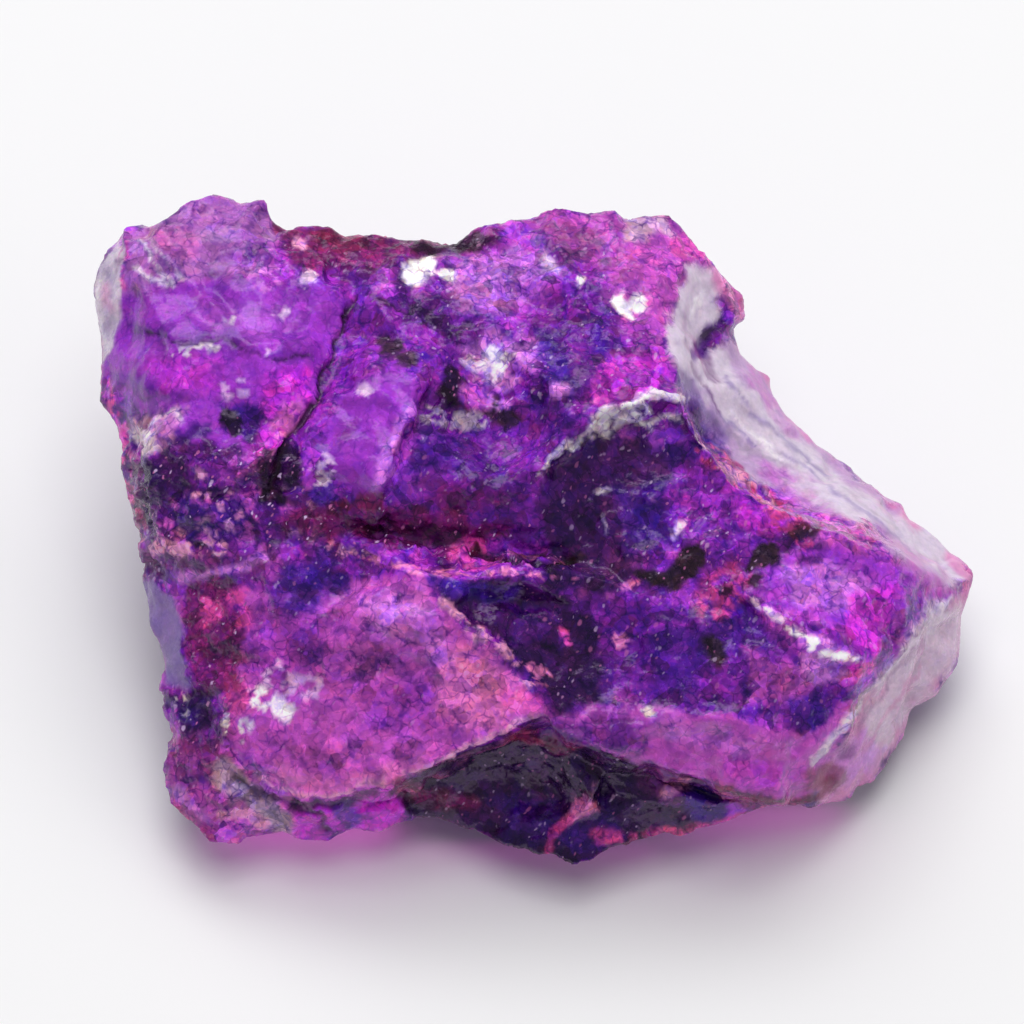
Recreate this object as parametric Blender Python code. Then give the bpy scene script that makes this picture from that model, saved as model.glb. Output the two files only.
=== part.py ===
"""Rough sapphire: one broken lump of violet crystal, resting on a small flat spot.

The lump is set out square on to its broad side, in millimetres: across to the right, up, and toward the
viewer. Every corner on its outline, ridges and hollows is written in those three numbers. The finished
lump is then leaned back by LEAN to lie as it rests, with +Z up and the flat spot on Z = 0.
"""

import math

import bmesh
import bpy
from mathutils import Vector, noise
from mathutils.geometry import delaunay_2d_cdt

MM = 0.001

# How the lump lies.
LEAN = math.radians(55.0)
CENTRE_HEIGHT = 12.0

# Fineness of the faceted surface, and how thick the lump is just behind its outline.
LONGEST_EDGE = 1.5
REFINING_PASSES = 5
FLAT_ANGLE = 0.02
EDGE_INSET = 0.55
EDGE_DROP = 1.3

# How close two points lie to be one point.
SAME_PLACE = 0.001
PLAN_TOLERANCE = 0.0001
ROUNDING = 4

# Broken flakes: the size of a flake, and how far its face tilts out of the surface.
FLAKE_SIZE = 3.1
FLAKE_TILT = 0.34
CRUMB_SIZE = 1.5
CRUMB_TILT = 0.26
# Where a flake's slope is looked up, so that neighbours differ.
SLOPE_STRIDE = 7.31
SLOPE_START = Vector((3.1, 1.7, 5.9))

# The flakes' borders wander: how tightly, and how far. The surface also swells slowly under them.
# The seed fixes the wandering and the slopes, so that the lump comes out the same each time.
NOISE_SEED = 3
WANDER_TIGHTNESS = 0.45
WANDER_REACH = 0.9
SWELL_TIGHTNESS = 1.1
SWELL_HEIGHT = 0.14

# Ripples on a shell-shaped scar: their spacing and height, and how soon they fade in from its rim.
RIPPLE_SPACING = 1.5
RIPPLE_HEIGHT = 0.05
RIPPLE_FADE = 8.0

# The outline, clockwise from the left tip: across, up, toward.
OUTLINE = (
    (-22.4, 11.5, -6.5), (-22.1, 12.6, -6.6), (-21.6, 13.5, -6.9), (-20.8, 14.1, -7.0),
    (-20.6, 14.6, -6.5), (-19.8, 15.1, -6.1), (-18.7, 15.3, -6.1), (-17.6, 15.9, -6.4),
    (-16.4, 16.2, -6.8), (-15.0, 16.0, -7.0), (-14.0, 15.7, -6.8), (-13.4, 15.1, -6.5),
    (-12.7, 14.8, -6.2), (-10.6, 14.8, -6.5), (-9.7, 14.5, -6.3), (-8.7, 14.3, -6.0),
    (-7.0, 14.0, -5.8), (-5.7, 13.9, -5.6), (-4.2, 14.1, -5.9), (-3.2, 14.5, -6.2),
    (-2.0, 15.0, -6.6), (-0.5, 15.3, -7.0), (2.4, 15.5, -7.0), (3.7, 15.3, -6.8),
    (4.2, 15.0, -6.8), (6.4, 15.1, -7.2), (7.2, 14.5, -7.5), (8.6, 13.7, -8.0),
    (8.8, 12.9, -7.6), (9.6, 11.8, -8.2), (10.2, 11.0, -8.5), (10.3, 9.8, -8.6),
    (9.9, 9.6, -8.0), (10.2, 8.4, -8.0), (11.2, 7.7, -8.4), (11.8, 6.8, -8.6),
    (13.0, 4.8, -8.6), (14.0, 3.9, -8.6), (15.3, 2.8, -8.5), (17.4, 1.3, -8.0),
    (18.2, 0.9, -7.8), (18.7, 0.2, -7.6), (20.7, -1.5, -7.0), (21.6, -1.9, -6.6),
    (21.9, -2.6, -6.0), (21.6, -3.7, -5.6), (20.8, -6.2, -5.8), (20.2, -7.8, -5.6),
    (19.7, -8.6, -5.4), (18.2, -10.9, -4.2), (17.2, -12.3, -3.2), (16.0, -13.5, -2.0),
    (14.9, -14.1, -1.0), (13.5, -14.3, 0.0), (12.2, -14.2, 0.5), (10.7, -14.4, 0.5),
    (8.0, -15.3, 0.5), (6.2, -15.8, 0.5), (4.7, -16.0, 0.8), (3.5, -16.4, 1.0),
    (1.7, -17.0, 1.0), (0.4, -16.8, 1.2), (-2.1, -16.2, 0.5), (-3.3, -15.6, 0.0),
    (-4.5, -15.1, -0.3), (-5.7, -14.9, -0.3), (-7.0, -15.3, 0.2), (-8.0, -15.7, 0.4),
    (-9.2, -15.6, 0.2), (-11.9, -16.2, 0.2), (-12.8, -15.9, 0.0), (-13.9, -15.9, 0.2),
    (-15.2, -16.1, 0.2), (-16.4, -15.9, 0.2), (-17.2, -15.1, 0.0), (-18.4, -14.3, -0.3),
    (-18.9, -13.2, -0.7), (-18.6, -11.8, -0.8), (-18.5, -10.7, -1.0), (-18.9, -9.5, -1.2),
    (-19.0, -8.2, -1.5), (-18.8, -7.2, -1.6), (-19.1, -6.2, -2.0), (-19.9, -4.3, -2.6),
    (-20.0, -3.0, -3.0), (-19.9, -2.1, -3.0), (-20.1, -1.0, -3.2), (-20.5, 0.3, -3.5),
    (-20.8, 1.8, -3.8), (-20.9, 3.3, -4.0), (-21.3, 4.5, -4.4), (-21.8, 5.8, -4.8),
    (-21.9, 7.2, -5.0), (-22.1, 9.0, -5.6),
)

# Ridges, steps and grooves of the side that faces the viewer. Each line is a crease in the surface.
CREASES = {
    "left cap edge": (
        (-20.6, 14.6, -6.5), (-20.6, 13.2, -5.1), (-20.8, 11.4, -4.6), (-21.2, 9.2, -4.4),
        (-21.9, 7.2, -5.0),
    ),
    "diagonal fissure": (
        (-9.4, 11.0, -3.5), (-9.7, 9.2, -2.6), (-10.3, 7.5, -1.2), (-11.1, 6.0, -0.1),
        (-12.0, 4.5, 0.7), (-12.9, 3.0, 1.2), (-13.4, 1.5, 1.3),
    ),
    "slab brink": (
        (-6.0, 7.1, 1.1), (-6.7, 4.8, 2.3), (-7.5, 2.8, 3.1), (-8.2, 0.8, 3.3),
    ),
    "slab foot": (
        (-5.4, 6.9, 0.1), (-6.2, 4.6, 1.2), (-6.9, 2.6, 2.0), (-7.5, 0.6, 2.1),
    ),
    "ledge groove": (
        (-13.9, 0.3, 1.6), (-12.0, 0.2, 1.4), (-10.0, -0.3, 1.3), (-8.0, -0.6, 1.2),
        (-6.0, -1.0, 1.2), (-4.0, -1.3, 1.4), (-2.0, -1.6, 1.5), (0.2, -1.8, 1.6),
        (1.9, -2.1, 2.0), (3.4, -2.5, 2.5),
    ),
    "ledge lip": (
        (-19.9, -2.1, -3.0), (-18.7, -2.8, -0.9), (-17.0, -2.9, 0.3), (-15.2, -2.5, 1.4),
        (-13.6, -1.8, 2.3), (-11.0, -1.8, 3.1), (-8.5, -2.1, 3.6), (-5.9, -2.6, 4.0),
        (-3.5, -2.9, 4.1), (-1.0, -2.8, 3.9), (1.5, -2.7, 3.8), (3.6, -3.2, 3.8),
    ),
    "flake brink": (
        (0.1, 2.5, 2.9), (1.0, 3.5, 2.9), (2.0, 4.6, 2.8), (3.0, 5.5, 2.3), (4.2, 5.7, 2.1),
        (5.5, 6.2, 1.8), (7.2, 6.0, 1.3), (8.0, 5.0, 1.3),
    ),
    "flake foot": (
        (0.7, 2.2, 2.0), (1.9, 3.2, 1.7), (3.1, 4.4, 1.1), (4.9, 4.7, 0.8), (6.2, 5.3, 0.7),
        (7.3, 4.7, 0.6),
    ),
    "crest": (
        (8.6, 13.7, -8.0), (7.5, 13.1, -5.7), (6.6, 12.4, -4.5), (6.2, 11.0, -2.9),
        (6.4, 8.8, -1.1), (7.0, 7.0, 0.0), (8.0, 5.0, 1.3), (8.8, 3.4, 1.8), (10.0, 2.1, 2.0),
        (11.5, 0.8, 2.1), (13.5, -0.3, 1.8), (15.5, -0.8, 1.3), (17.5, -1.5, 0.3),
        (19.3, -2.5, -1.3), (20.8, -3.5, -3.8), (21.6, -3.7, -5.6),
    ),
    "right ridge": (
        (20.8, -3.5, -3.8), (19.5, -4.8, -1.8), (18.0, -6.3, 0.2), (16.5, -7.8, 1.7),
        (15.2, -9.1, 2.7), (14.0, -10.4, 3.5), (13.2, -11.8, 3.4), (13.4, -13.0, 2.7),
        (13.5, -14.3, 0.0),
    ),
    "pink face right edge": (
        (-5.9, -2.6, 4.0), (-4.5, -4.4, 4.4), (-3.0, -5.6, 4.7), (-1.4, -6.8, 4.9),
        (-0.4, -8.3, 5.0), (0.3, -9.4, 5.0),
    ),
    "pink face lower brink": (
        (0.3, -9.4, 5.0), (-1.8, -10.5, 4.9), (-3.5, -11.2, 4.7), (-5.2, -12.1, 4.3),
        (-7.0, -12.8, 3.9), (-8.5, -13.4, 3.5), (-10.5, -13.8, 3.1), (-12.5, -13.0, 2.6),
        (-13.9, -12.2, 2.2), (-15.0, -11.4, 1.8),
    ),
    "pink face undercut": (
        (0.6, -10.2, 3.2), (-1.5, -11.2, 2.2), (-3.2, -12.0, 1.5), (-4.9, -12.9, 0.9),
        (-6.7, -13.5, 0.8), (-8.3, -14.0, 1.3), (-10.5, -14.5, 1.9), (-12.8, -13.8, 1.5),
    ),
    "pink face left edge": (
        (-15.0, -11.4, 1.8), (-15.2, -9.0, 1.7), (-14.5, -6.0, 1.8), (-13.0, -4.0, 2.4),
        (-12.0, -2.6, 2.8),
    ),
    "left slab edge": (
        (-18.7, -2.8, -0.9), (-18.0, -4.5, -0.5), (-17.7, -6.5, -0.2), (-17.0, -8.5, 0.3),
        (-18.0, -9.0, -0.3), (-18.9, -9.5, -1.2),
    ),
    "apron top": (
        (0.3, -9.4, 5.0), (3.5, -9.3, 5.2), (6.0, -9.6, 5.3), (8.5, -9.9, 5.3),
        (11.0, -10.2, 5.0), (14.0, -10.4, 3.5),
    ),
    "apron brink": (
        (0.3, -9.4, 5.0), (1.2, -10.9, 4.3), (3.0, -11.6, 4.0), (5.5, -12.1, 4.0),
        (8.0, -12.8, 3.9), (10.0, -13.5, 3.6), (12.0, -13.8, 3.2), (13.4, -13.0, 2.7),
    ),
    "apron undercut": (
        (0.6, -10.2, 3.2), (1.4, -11.6, 2.4), (3.2, -12.3, 1.9), (5.6, -12.8, 1.7),
        (8.0, -13.5, 1.5), (10.0, -14.0, 1.3),
    ),
    "bright step": (
        (10.5, -3.9, 3.9), (12.2, -5.1, 4.4), (14.0, -6.0, 4.2), (15.9, -6.8, 3.2),
    ),
}

# Single corners between the creases of the side that faces the viewer.
CORNERS = (
    # Upper left face.
    (-19.5, 14.0, -5.0), (-16.5, 14.7, -5.4), (-13.9, 14.4, -5.3), (-19.7, 11.0, -3.5),
    (-17.0, 11.5, -2.6), (-13.7, 11.5, -2.6), (-11.0, 11.7, -3.2), (-9.7, 13.2, -4.6),
    (-18.0, 8.5, -0.9), (-14.5, 8.7, -0.3), (-11.6, 8.7, -0.9), (-20.2, 7.0, -2.0),
    (-17.5, 6.0, 0.4), (-14.5, 6.0, 1.0), (-12.6, 6.0, 1.1), (-20.4, 5.0, -2.4),
    (-19.5, 3.5, 0.1), (-16.2, 3.5, 1.6), (-13.9, 3.2, 2.3), (-19.0, 1.0, 0.2),
    (-16.5, 1.0, 1.5), (-19.0, -1.0, 0.1), (-16.0, -1.0, 1.6),
    # Upper middle, right of the fissure.
    (-8.4, 11.0, -2.5), (-7.0, 9.0, -1.2), (-8.5, 8.0, 0.1), (-10.0, 5.0, 1.5),
    (-10.8, 3.0, 2.1), (-11.8, 1.6, 2.3), (-9.4, 1.6, 2.9), (-8.8, 6.0, 1.2),
    (-7.0, 12.9, -4.0), (-5.0, 13.1, -4.2), (-5.4, 11.8, -3.0), (-7.0, 11.5, -3.1),
    (-2.0, 13.0, -4.3), (1.0, 13.5, -4.8), (4.0, 13.5, -4.7), (-3.5, 11.0, -2.6),
    (-0.5, 11.0, -2.9), (2.5, 11.0, -2.5), (-4.5, 8.8, -1.4), (-2.0, 9.0, -0.9),
    (1.0, 9.0, -0.8), (4.0, 8.8, -0.8), (-4.6, 6.6, 0.1), (-3.4, 7.0, -0.9),
    (-1.9, 5.9, -0.7), (-3.4, 5.4, -0.3), (0.0, 7.0, 1.0), (2.5, 7.0, 1.1), (5.0, 7.3, 0.6),
    (-5.0, 4.0, 1.6), (-2.7, 4.0, 1.8), (-0.5, 4.4, 2.0), (-5.0, 1.5, 2.2), (-2.0, 1.4, 2.6),
    (0.6, 0.6, 2.5), (2.4, 1.4, 1.5), (4.7, 2.6, 1.0), (7.0, 2.5, 1.3), (5.0, 0.2, 2.2),
    (7.5, -1.2, 2.6), (9.0, 0.6, 2.3), (10.0, -1.2, 2.8), (13.0, -2.0, 2.6), (15.5, -2.0, 1.7),
    # Back bevel beyond the crest, with its notch.
    (7.5, 11.0, -4.7), (8.0, 9.6, -4.5), (8.2, 8.8, -5.8), (8.9, 9.5, -6.3), (7.9, 7.0, -2.7),
    (8.8, 7.2, -5.2), (9.5, 8.6, -6.6), (10.0, 6.0, -4.3), (11.0, 4.0, -3.4), (13.0, 2.0, -3.4),
    (15.5, 0.8, -3.7), (18.0, -0.9, -4.3), (20.0, -2.2, -5.0), (12.0, 5.0, -7.0),
    # Dark face beside the pink one, and the broad lower face.
    (-3.4, -4.0, 3.5), (-1.0, -4.1, 3.2), (1.5, -4.1, 3.2), (-1.0, -6.0, 3.7), (1.1, -7.0, 3.7),
    (3.0, -6.0, 3.4), (1.2, -8.7, 4.5), (5.0, -4.0, 3.8), (8.0, -3.5, 3.4), (6.0, -6.5, 4.2),
    (9.0, -6.5, 4.4), (4.0, -8.5, 4.7), (8.0, -9.0, 4.9), (11.0, -9.0, 4.9), (12.3, -6.6, 4.2),
    (13.8, -7.6, 3.7), (10.0, -4.4, 3.5), (13.0, -4.0, 3.5), (15.5, -4.0, 2.5), (18.0, -4.0, 0.7),
    # Bevel on the lower right.
    (20.2, -6.6, -3.6), (18.0, -9.0, -1.8), (16.0, -11.3, 0.0), (14.7, -13.0, 0.6),
    # Broken ground left of the pink face.
    (-17.0, -4.3, 0.4), (-15.9, -5.0, 1.3), (-16.0, -7.5, 0.9), (-17.7, -10.5, 0.2),
    (-16.4, -11.0, 1.0), (-18.0, -13.0, 0.0), (-17.0, -12.5, 0.6),
    # Pink face.
    (-9.5, -5.0, 3.4), (-7.0, -4.0, 3.9), (-12.0, -8.0, 2.6), (-9.0, -8.5, 3.4),
    (-5.0, -7.0, 4.4), (-3.0, -8.5, 4.7), (-7.0, -11.0, 4.2), (-11.0, -11.5, 3.2),
    # Lower left block and the bright chip beside it.
    (-16.0, -14.0, 1.0), (-14.0, -14.0, 1.5), (-14.5, -15.3, 0.9), (-12.0, -14.8, 1.3),
    (-9.6, -14.7, 1.3), (-8.0, -14.4, 1.5), (-7.0, -14.6, 0.8),
    # Hollow under the pink face, with small blocks standing in it.
    (-3.0, -13.0, 0.6), (0.0, -12.5, 0.7), (3.0, -13.5, 0.9), (1.0, -14.0, 0.4),
    (-2.0, -14.5, 0.2), (-4.5, -14.0, 0.2), (2.0, -13.9, 2.7), (1.0, -15.3, 1.7),
    (3.0, -14.6, 1.3), (5.0, -14.0, 1.9), (7.0, -13.6, 2.2), (8.5, -14.1, 2.0),
)

# The far side, its corners given where they lie when the lump rests: X, Y, height above the surface.
# The lowest ones reach below it, and are cut away to leave the flat spot.
FAR_CORNERS = (
    (-8.6, -2.6, -0.7), (-2.0, -5.0, -0.6), (5.6, -3.8, -0.7), (8.6, 1.0, -0.6), (5.0, 7.4, -0.7),
    (-3.0, 8.4, -0.7), (-8.8, 3.6, -0.6), (0.0, 1.5, -0.9),
    (-16.0, 3.0, 4.2), (-19.0, 11.0, 9.0), (-14.0, 15.3, 9.4), (-9.0, 14.0, 4.4),
    (-3.0, 16.6, 8.0), (-4.0, 13.6, 3.2), (6.0, 15.6, 7.6), (4.5, 12.6, 2.8), (11.0, 10.6, 4.4),
    (16.0, 3.0, 2.6), (12.6, 3.6, 0.9), (14.0, -4.6, 2.2), (8.6, -8.4, 1.7), (2.0, -10.6, 2.0),
    (-6.4, -9.6, 1.8), (-12.4, -8.4, 2.6), (-16.2, -4.0, 4.0), (-12.6, 2.6, 1.8),
)

# Shell-shaped scars where flakes sprang off: the centre and radius of the ball that each one follows.
# The first three numbers are across, up and toward on the near side.
NEAR_SCARS = (
    (14.3, 7.4, 0.6, 7.4),
    (10.7, 10.3, -3.9, 3.1),
    (3.6, 1.9, 7.6, 6.1),
    (-11.6, -0.6, 7.9, 6.6),
    (3.0, -5.2, 12.2, 9.0),
    (-9.6, -8.6, 14.8, 11.7),
    (7.4, -12.2, 12.2, 7.6),
    (-0.6, -14.2, 4.4, 3.7),
    (-2.6, 6.2, 3.7, 4.2),
    (-16.8, 8.6, 9.6, 10.0),
)
# X, Y and height when the lump rests, on the far side.
FAR_SCARS = (
    (-13.0, 24.0, 6.0, 9.9),
    (9.0, 20.6, 9.6, 7.0),
    (-21.4, -1.0, 0.6, 5.6),
    (0.0, 23.4, 2.0, 8.4),
    (9.6, -12.6, -3.4, 6.2),
)

STONE_COLOUR = (0.23, 0.045, 0.38, 1.0)
STONE_ROUGHNESS = 0.3


def resting(across, up, toward):
    """Where a corner that is set out square on lies once the lump is leaned back."""
    return Vector((
        across,
        up * math.sin(LEAN) - toward * math.cos(LEAN),
        up * math.cos(LEAN) + toward * math.sin(LEAN) + CENTRE_HEIGHT,
    ))


def square_on(x, y, height):
    """The inverse of resting: across, up and toward."""
    above = height - CENTRE_HEIGHT
    return Vector((
        x,
        y * math.sin(LEAN) + above * math.cos(LEAN),
        above * math.sin(LEAN) - y * math.cos(LEAN),
    ))


def skirt():
    """A ring of corners just inside the outline and behind it, which gives the lump its edge."""
    ring = []
    count = len(OUTLINE)
    for index, here in enumerate(OUTLINE):
        before = Vector(OUTLINE[index - 1]).xy
        after = Vector(OUTLINE[(index + 1) % count]).xy
        along = (after - before).normalized()
        # The outline runs clockwise, so its inner side is on the right.
        inward = Vector((along.y, -along.x))
        place = Vector(here).xy + inward * EDGE_INSET
        ring.append((place.x, place.y, here[2] - EDGE_DROP))
    return ring


def sheet(corners, creases):
    """Corner points and triangles of one side, joined in plan inside the outline and along the creases."""
    points = [Vector(corner) for corner in (*OUTLINE, *corners)]
    edges = []
    for crease in creases:
        start = len(points)
        points += [Vector(corner) for corner in crease]
        edges += [(i, i + 1) for i in range(start, len(points) - 1)]
    rim = list(reversed(range(len(OUTLINE))))
    # The output kind 0 keeps the whole plan. Triangles outside the rim are the ones with no face of origin.
    plan, _, faces, origins, _, within = delaunay_2d_cdt(
        [point.xy for point in points], edges, [rim], 0, PLAN_TOLERANCE, True
    )
    for place, origin in zip(plan, origins):
        if not origin:
            raise ValueError(f"two creases cross at {place.x:.2f}, {place.y:.2f}")
    solid_points = [points[origin[0]] for origin in origins]
    return solid_points, [face for face, rims in zip(faces, within) if rims]


def add_sheet(mesh, points, faces, flip):
    """Adds one side to the mesh. A chord between two outline corners is split, so that the sides share none."""
    outline = {Vector(corner).to_tuple(ROUNDING) for corner in OUTLINE}
    made = [mesh.verts.new(point) for point in points]
    on_outline = {vert for vert in made if vert.co.to_tuple(ROUNDING) in outline}
    for face in faces:
        corners = [made[i] for i in face]
        mesh.faces.new(corners[::-1] if flip else corners)
    chords = [
        edge for edge in mesh.edges if len(edge.link_faces) == 2 and set(edge.verts) <= on_outline
    ]
    if chords:
        bmesh.ops.subdivide_edges(mesh, edges=chords, cuts=1)


def rough_lump():
    """Both sides joined along the outline into one closed, coarse lump, set out square on."""
    mesh = bmesh.new()
    near_points, near_faces = sheet(CORNERS, CREASES.values())
    add_sheet(mesh, near_points, near_faces, flip=False)
    far = [square_on(*corner) for corner in FAR_CORNERS]
    far_points, far_faces = sheet([*skirt(), *far], ())
    add_sheet(mesh, far_points, far_faces, flip=True)
    bmesh.ops.remove_doubles(mesh, verts=mesh.verts[:], dist=SAME_PLACE)
    bmesh.ops.triangulate(mesh, faces=mesh.faces[:])
    bmesh.ops.recalc_face_normals(mesh, faces=mesh.faces[:])
    return mesh


def refine(mesh):
    """Halves the edges longer than LONGEST_EDGE, pass by pass, and evens out the flat triangles after each."""
    for _ in range(REFINING_PASSES):
        long_edges = [edge for edge in mesh.edges if edge.calc_length() > LONGEST_EDGE]
        if not long_edges:
            return
        bmesh.ops.subdivide_edges(mesh, edges=long_edges, cuts=1)
        bmesh.ops.triangulate(mesh, faces=mesh.faces[:])
        flat = [edge for edge in mesh.edges if abs(edge.calc_face_angle(math.pi)) < FLAT_ANGLE]
        bmesh.ops.beautify_fill(mesh, faces=mesh.faces[:], edges=flat)


def hollow(mesh, centre, radius):
    """Pushes what lies inside a ball out to its wall, with faint ripples round the point of impact."""
    for vert in mesh.verts:
        offset = vert.co - centre
        distance = offset.length
        if distance >= radius:
            continue
        fade = min(1.0, RIPPLE_FADE * (radius - distance) / radius)
        ripple = RIPPLE_HEIGHT * fade * math.sin(math.tau * vert.co.x / RIPPLE_SPACING)
        vert.co = centre + offset * ((radius + ripple) / distance)


def tilt(position, size, amount):
    """Height of a broken flake: each cell of the lump is a plane with its own slope."""
    place = position / size
    _, seeds = noise.voronoi(place)
    seed = seeds[0]
    slope = noise.noise_vector(seed * SLOPE_STRIDE + SLOPE_START)
    return (place - seed).dot(slope) * size * amount


def chip(mesh):
    """Breaks the smooth surface into flakes and crumbs, each standing a little in or out."""
    mesh.normal_update()
    moves = []
    for vert in mesh.verts:
        place = vert.co + noise.noise_vector(vert.co * WANDER_TIGHTNESS) * WANDER_REACH
        height = tilt(place, FLAKE_SIZE, FLAKE_TILT) + tilt(place, CRUMB_SIZE, CRUMB_TILT)
        height += SWELL_HEIGHT * noise.noise(vert.co * SWELL_TIGHTNESS)
        moves.append(vert.normal * height)
    for vert, move in zip(mesh.verts, moves):
        vert.co += move


def lay_down(mesh):
    """Leans the lump back, cuts its flat spot level and puts the origin under the middle of its box."""
    for vert in mesh.verts:
        vert.co = resting(*vert.co)
    # What reaches below the surface is cut away, and the cut is closed with a flat face.
    geometry = mesh.verts[:] + mesh.edges[:] + mesh.faces[:]
    cut = bmesh.ops.bisect_plane(
        mesh, geom=geometry, dist=PLAN_TOLERANCE, plane_co=(0, 0, 0), plane_no=(0, 0, -1), clear_outer=True
    )
    rim = [item for item in cut["geom_cut"] if isinstance(item, bmesh.types.BMEdge)]
    bmesh.ops.holes_fill(mesh, edges=rim, sides=0)
    bmesh.ops.triangulate(mesh, faces=mesh.faces[:])
    low = Vector(min(vert.co[axis] for vert in mesh.verts) for axis in range(3))
    high = Vector(max(vert.co[axis] for vert in mesh.verts) for axis in range(3))
    middle = (low + high) / 2.0
    for vert in mesh.verts:
        vert.co = Vector((vert.co.x - middle.x, vert.co.y - middle.y, vert.co.z)) * MM
    return middle


def stone_material():
    material = bpy.data.materials.new("violet crystal")
    material.use_nodes = True
    shader = material.node_tree.nodes["Principled BSDF"]
    shader.inputs["Base Color"].default_value = STONE_COLOUR
    shader.inputs["Roughness"].default_value = STONE_ROUGHNESS
    return material


def build_stone():
    mesh = rough_lump()
    refine(mesh)
    for across, up, toward, radius in NEAR_SCARS:
        hollow(mesh, Vector((across, up, toward)), radius)
    for x, y, height, radius in FAR_SCARS:
        hollow(mesh, square_on(x, y, height), radius)
    chip(mesh)
    middle = lay_down(mesh)
    print(f"the drawing's origin lies at {-middle.x:.4f}, {-middle.y:.4f}, {CENTRE_HEIGHT:.4f} mm")
    bmesh.ops.recalc_face_normals(mesh, faces=mesh.faces[:])
    data = bpy.data.meshes.new("stone")
    mesh.to_mesh(data)
    mesh.free()
    data.materials.append(stone_material())
    stone = bpy.data.objects.new("stone", data)
    bpy.context.scene.collection.objects.link(stone)


def main():
    for old in list(bpy.data.objects):
        bpy.data.objects.remove(old)
    noise.seed_set(NOISE_SEED)
    build_stone()


main()
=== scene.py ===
"""Looks of the rough sapphire: one broken lump of violet crystal, lying on a plain pale floor.

Its colours are set out on the same drawing as its corners, in millimetres: across to the right and up, seen
square on to its broad side. Each patch, streak and glint there is one mark. Some of them are painted light
and shade: the glints are painted highlights, the pale bevels partly painted reflection, the pink along the
edges painted glow, and the dark of some hollows and grooves painted shade. What the drawing doesn't show,
the lump's far side, takes the same crystal's mottling and cracks, broad dark ground and smooth pale faces.
"""

import math

import bpy
import numpy as np
from mathutils import Matrix, Vector


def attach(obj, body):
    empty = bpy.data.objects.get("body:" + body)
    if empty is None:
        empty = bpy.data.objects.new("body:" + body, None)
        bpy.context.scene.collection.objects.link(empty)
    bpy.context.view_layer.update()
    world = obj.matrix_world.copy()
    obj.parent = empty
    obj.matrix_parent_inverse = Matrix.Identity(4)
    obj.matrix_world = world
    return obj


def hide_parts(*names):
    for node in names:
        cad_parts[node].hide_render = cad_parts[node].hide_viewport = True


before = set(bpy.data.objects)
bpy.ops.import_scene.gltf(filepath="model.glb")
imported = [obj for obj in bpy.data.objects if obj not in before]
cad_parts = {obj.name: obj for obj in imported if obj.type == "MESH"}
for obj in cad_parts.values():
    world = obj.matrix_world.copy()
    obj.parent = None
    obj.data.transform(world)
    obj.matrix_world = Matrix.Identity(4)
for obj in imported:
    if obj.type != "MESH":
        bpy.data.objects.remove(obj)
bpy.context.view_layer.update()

MM = 0.001

# How the lump lies: the drawing leans back by LEAN, and its origin lies here in the row's frame.
LEAN = math.radians(55.0)
DRAWING_ORIGIN = np.array((0.3255, -1.4989, 12.0))
ACROSS = np.array((1.0, 0.0, 0.0))
UPWARD = np.array((0.0, math.sin(LEAN), math.cos(LEAN)))
TOWARD = np.array((0.0, -math.cos(LEAN), math.sin(LEAN)))

# Longest edge of the finished surface, on the side that the drawing shows and on the far side, and how far
# towards the viewer the one gives way to the other.
NEAR_EDGE = 0.30
FAR_EDGE = 0.50
NEAR_FROM = (-9.0, -6.0)
SPLITTING_PASSES = 7

# The flat spot lies lower than this, and the fine relief fades out towards it over this height.
FLAT_TOP = 0.02
RELIEF_FADE = 0.8

# The crystal's colours, as red, green and blue from 0 to 255.
COLOURS = {
    "violet": (132, 34, 176), "bright violet": (158, 54, 202), "deep violet": (90, 20, 138),
    "lilac": (206, 122, 234), "highlight lilac": (232, 196, 248), "mauve": (194, 82, 196),
    "soft mauve": (172, 102, 188), "magenta": (208, 44, 220), "hot pink": (232, 78, 182),
    "pink": (222, 120, 188), "rose": (184, 58, 136), "blush": (216, 142, 192), "blue": (56, 18, 150),
    "indigo": (54, 14, 128), "slate violet": (132, 108, 176), "night": (30, 7, 58),
    "black": (14, 5, 18), "olive": (36, 27, 17), "maroon": (112, 20, 84), "brick": (118, 24, 62),
    "plum": (114, 46, 126), "grey": (166, 150, 176), "frost and sheen": (222, 208, 226), "highlight white": (255, 248, 255),
    "nothing": (0, 0, 0),
}


def patch(colour, points, soft=0.5, broken=0.5, cover=0.8, share=1.0, gloss=None, calm=0.0, glint_glow=0.0):
    """An area of the drawing, inside a closed outline, in one colour."""
    return {
        "closed": True, "colour": colour, "points": points, "width": 0.0, "soft": soft, "broken": broken,
        "cover": cover, "share": share, "gloss": gloss, "height": 0.0, "calm": calm, "glint_glow": glint_glow,
    }


def streak(
    colour, points, width, soft=0.15, broken=0.12, cover=0.9, share=1.0, gloss=None, height=0.0,
    calm=None, glint_glow=0.0,
):
    """A line of the drawing, or a round spot where it has one point only, of that width, in one colour."""
    return {
        "closed": False, "colour": colour, "points": points, "width": width, "soft": soft,
        "broken": broken, "cover": cover, "share": share, "gloss": gloss, "height": height, "calm": calm,
        "glint_glow": glint_glow,
    }
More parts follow.
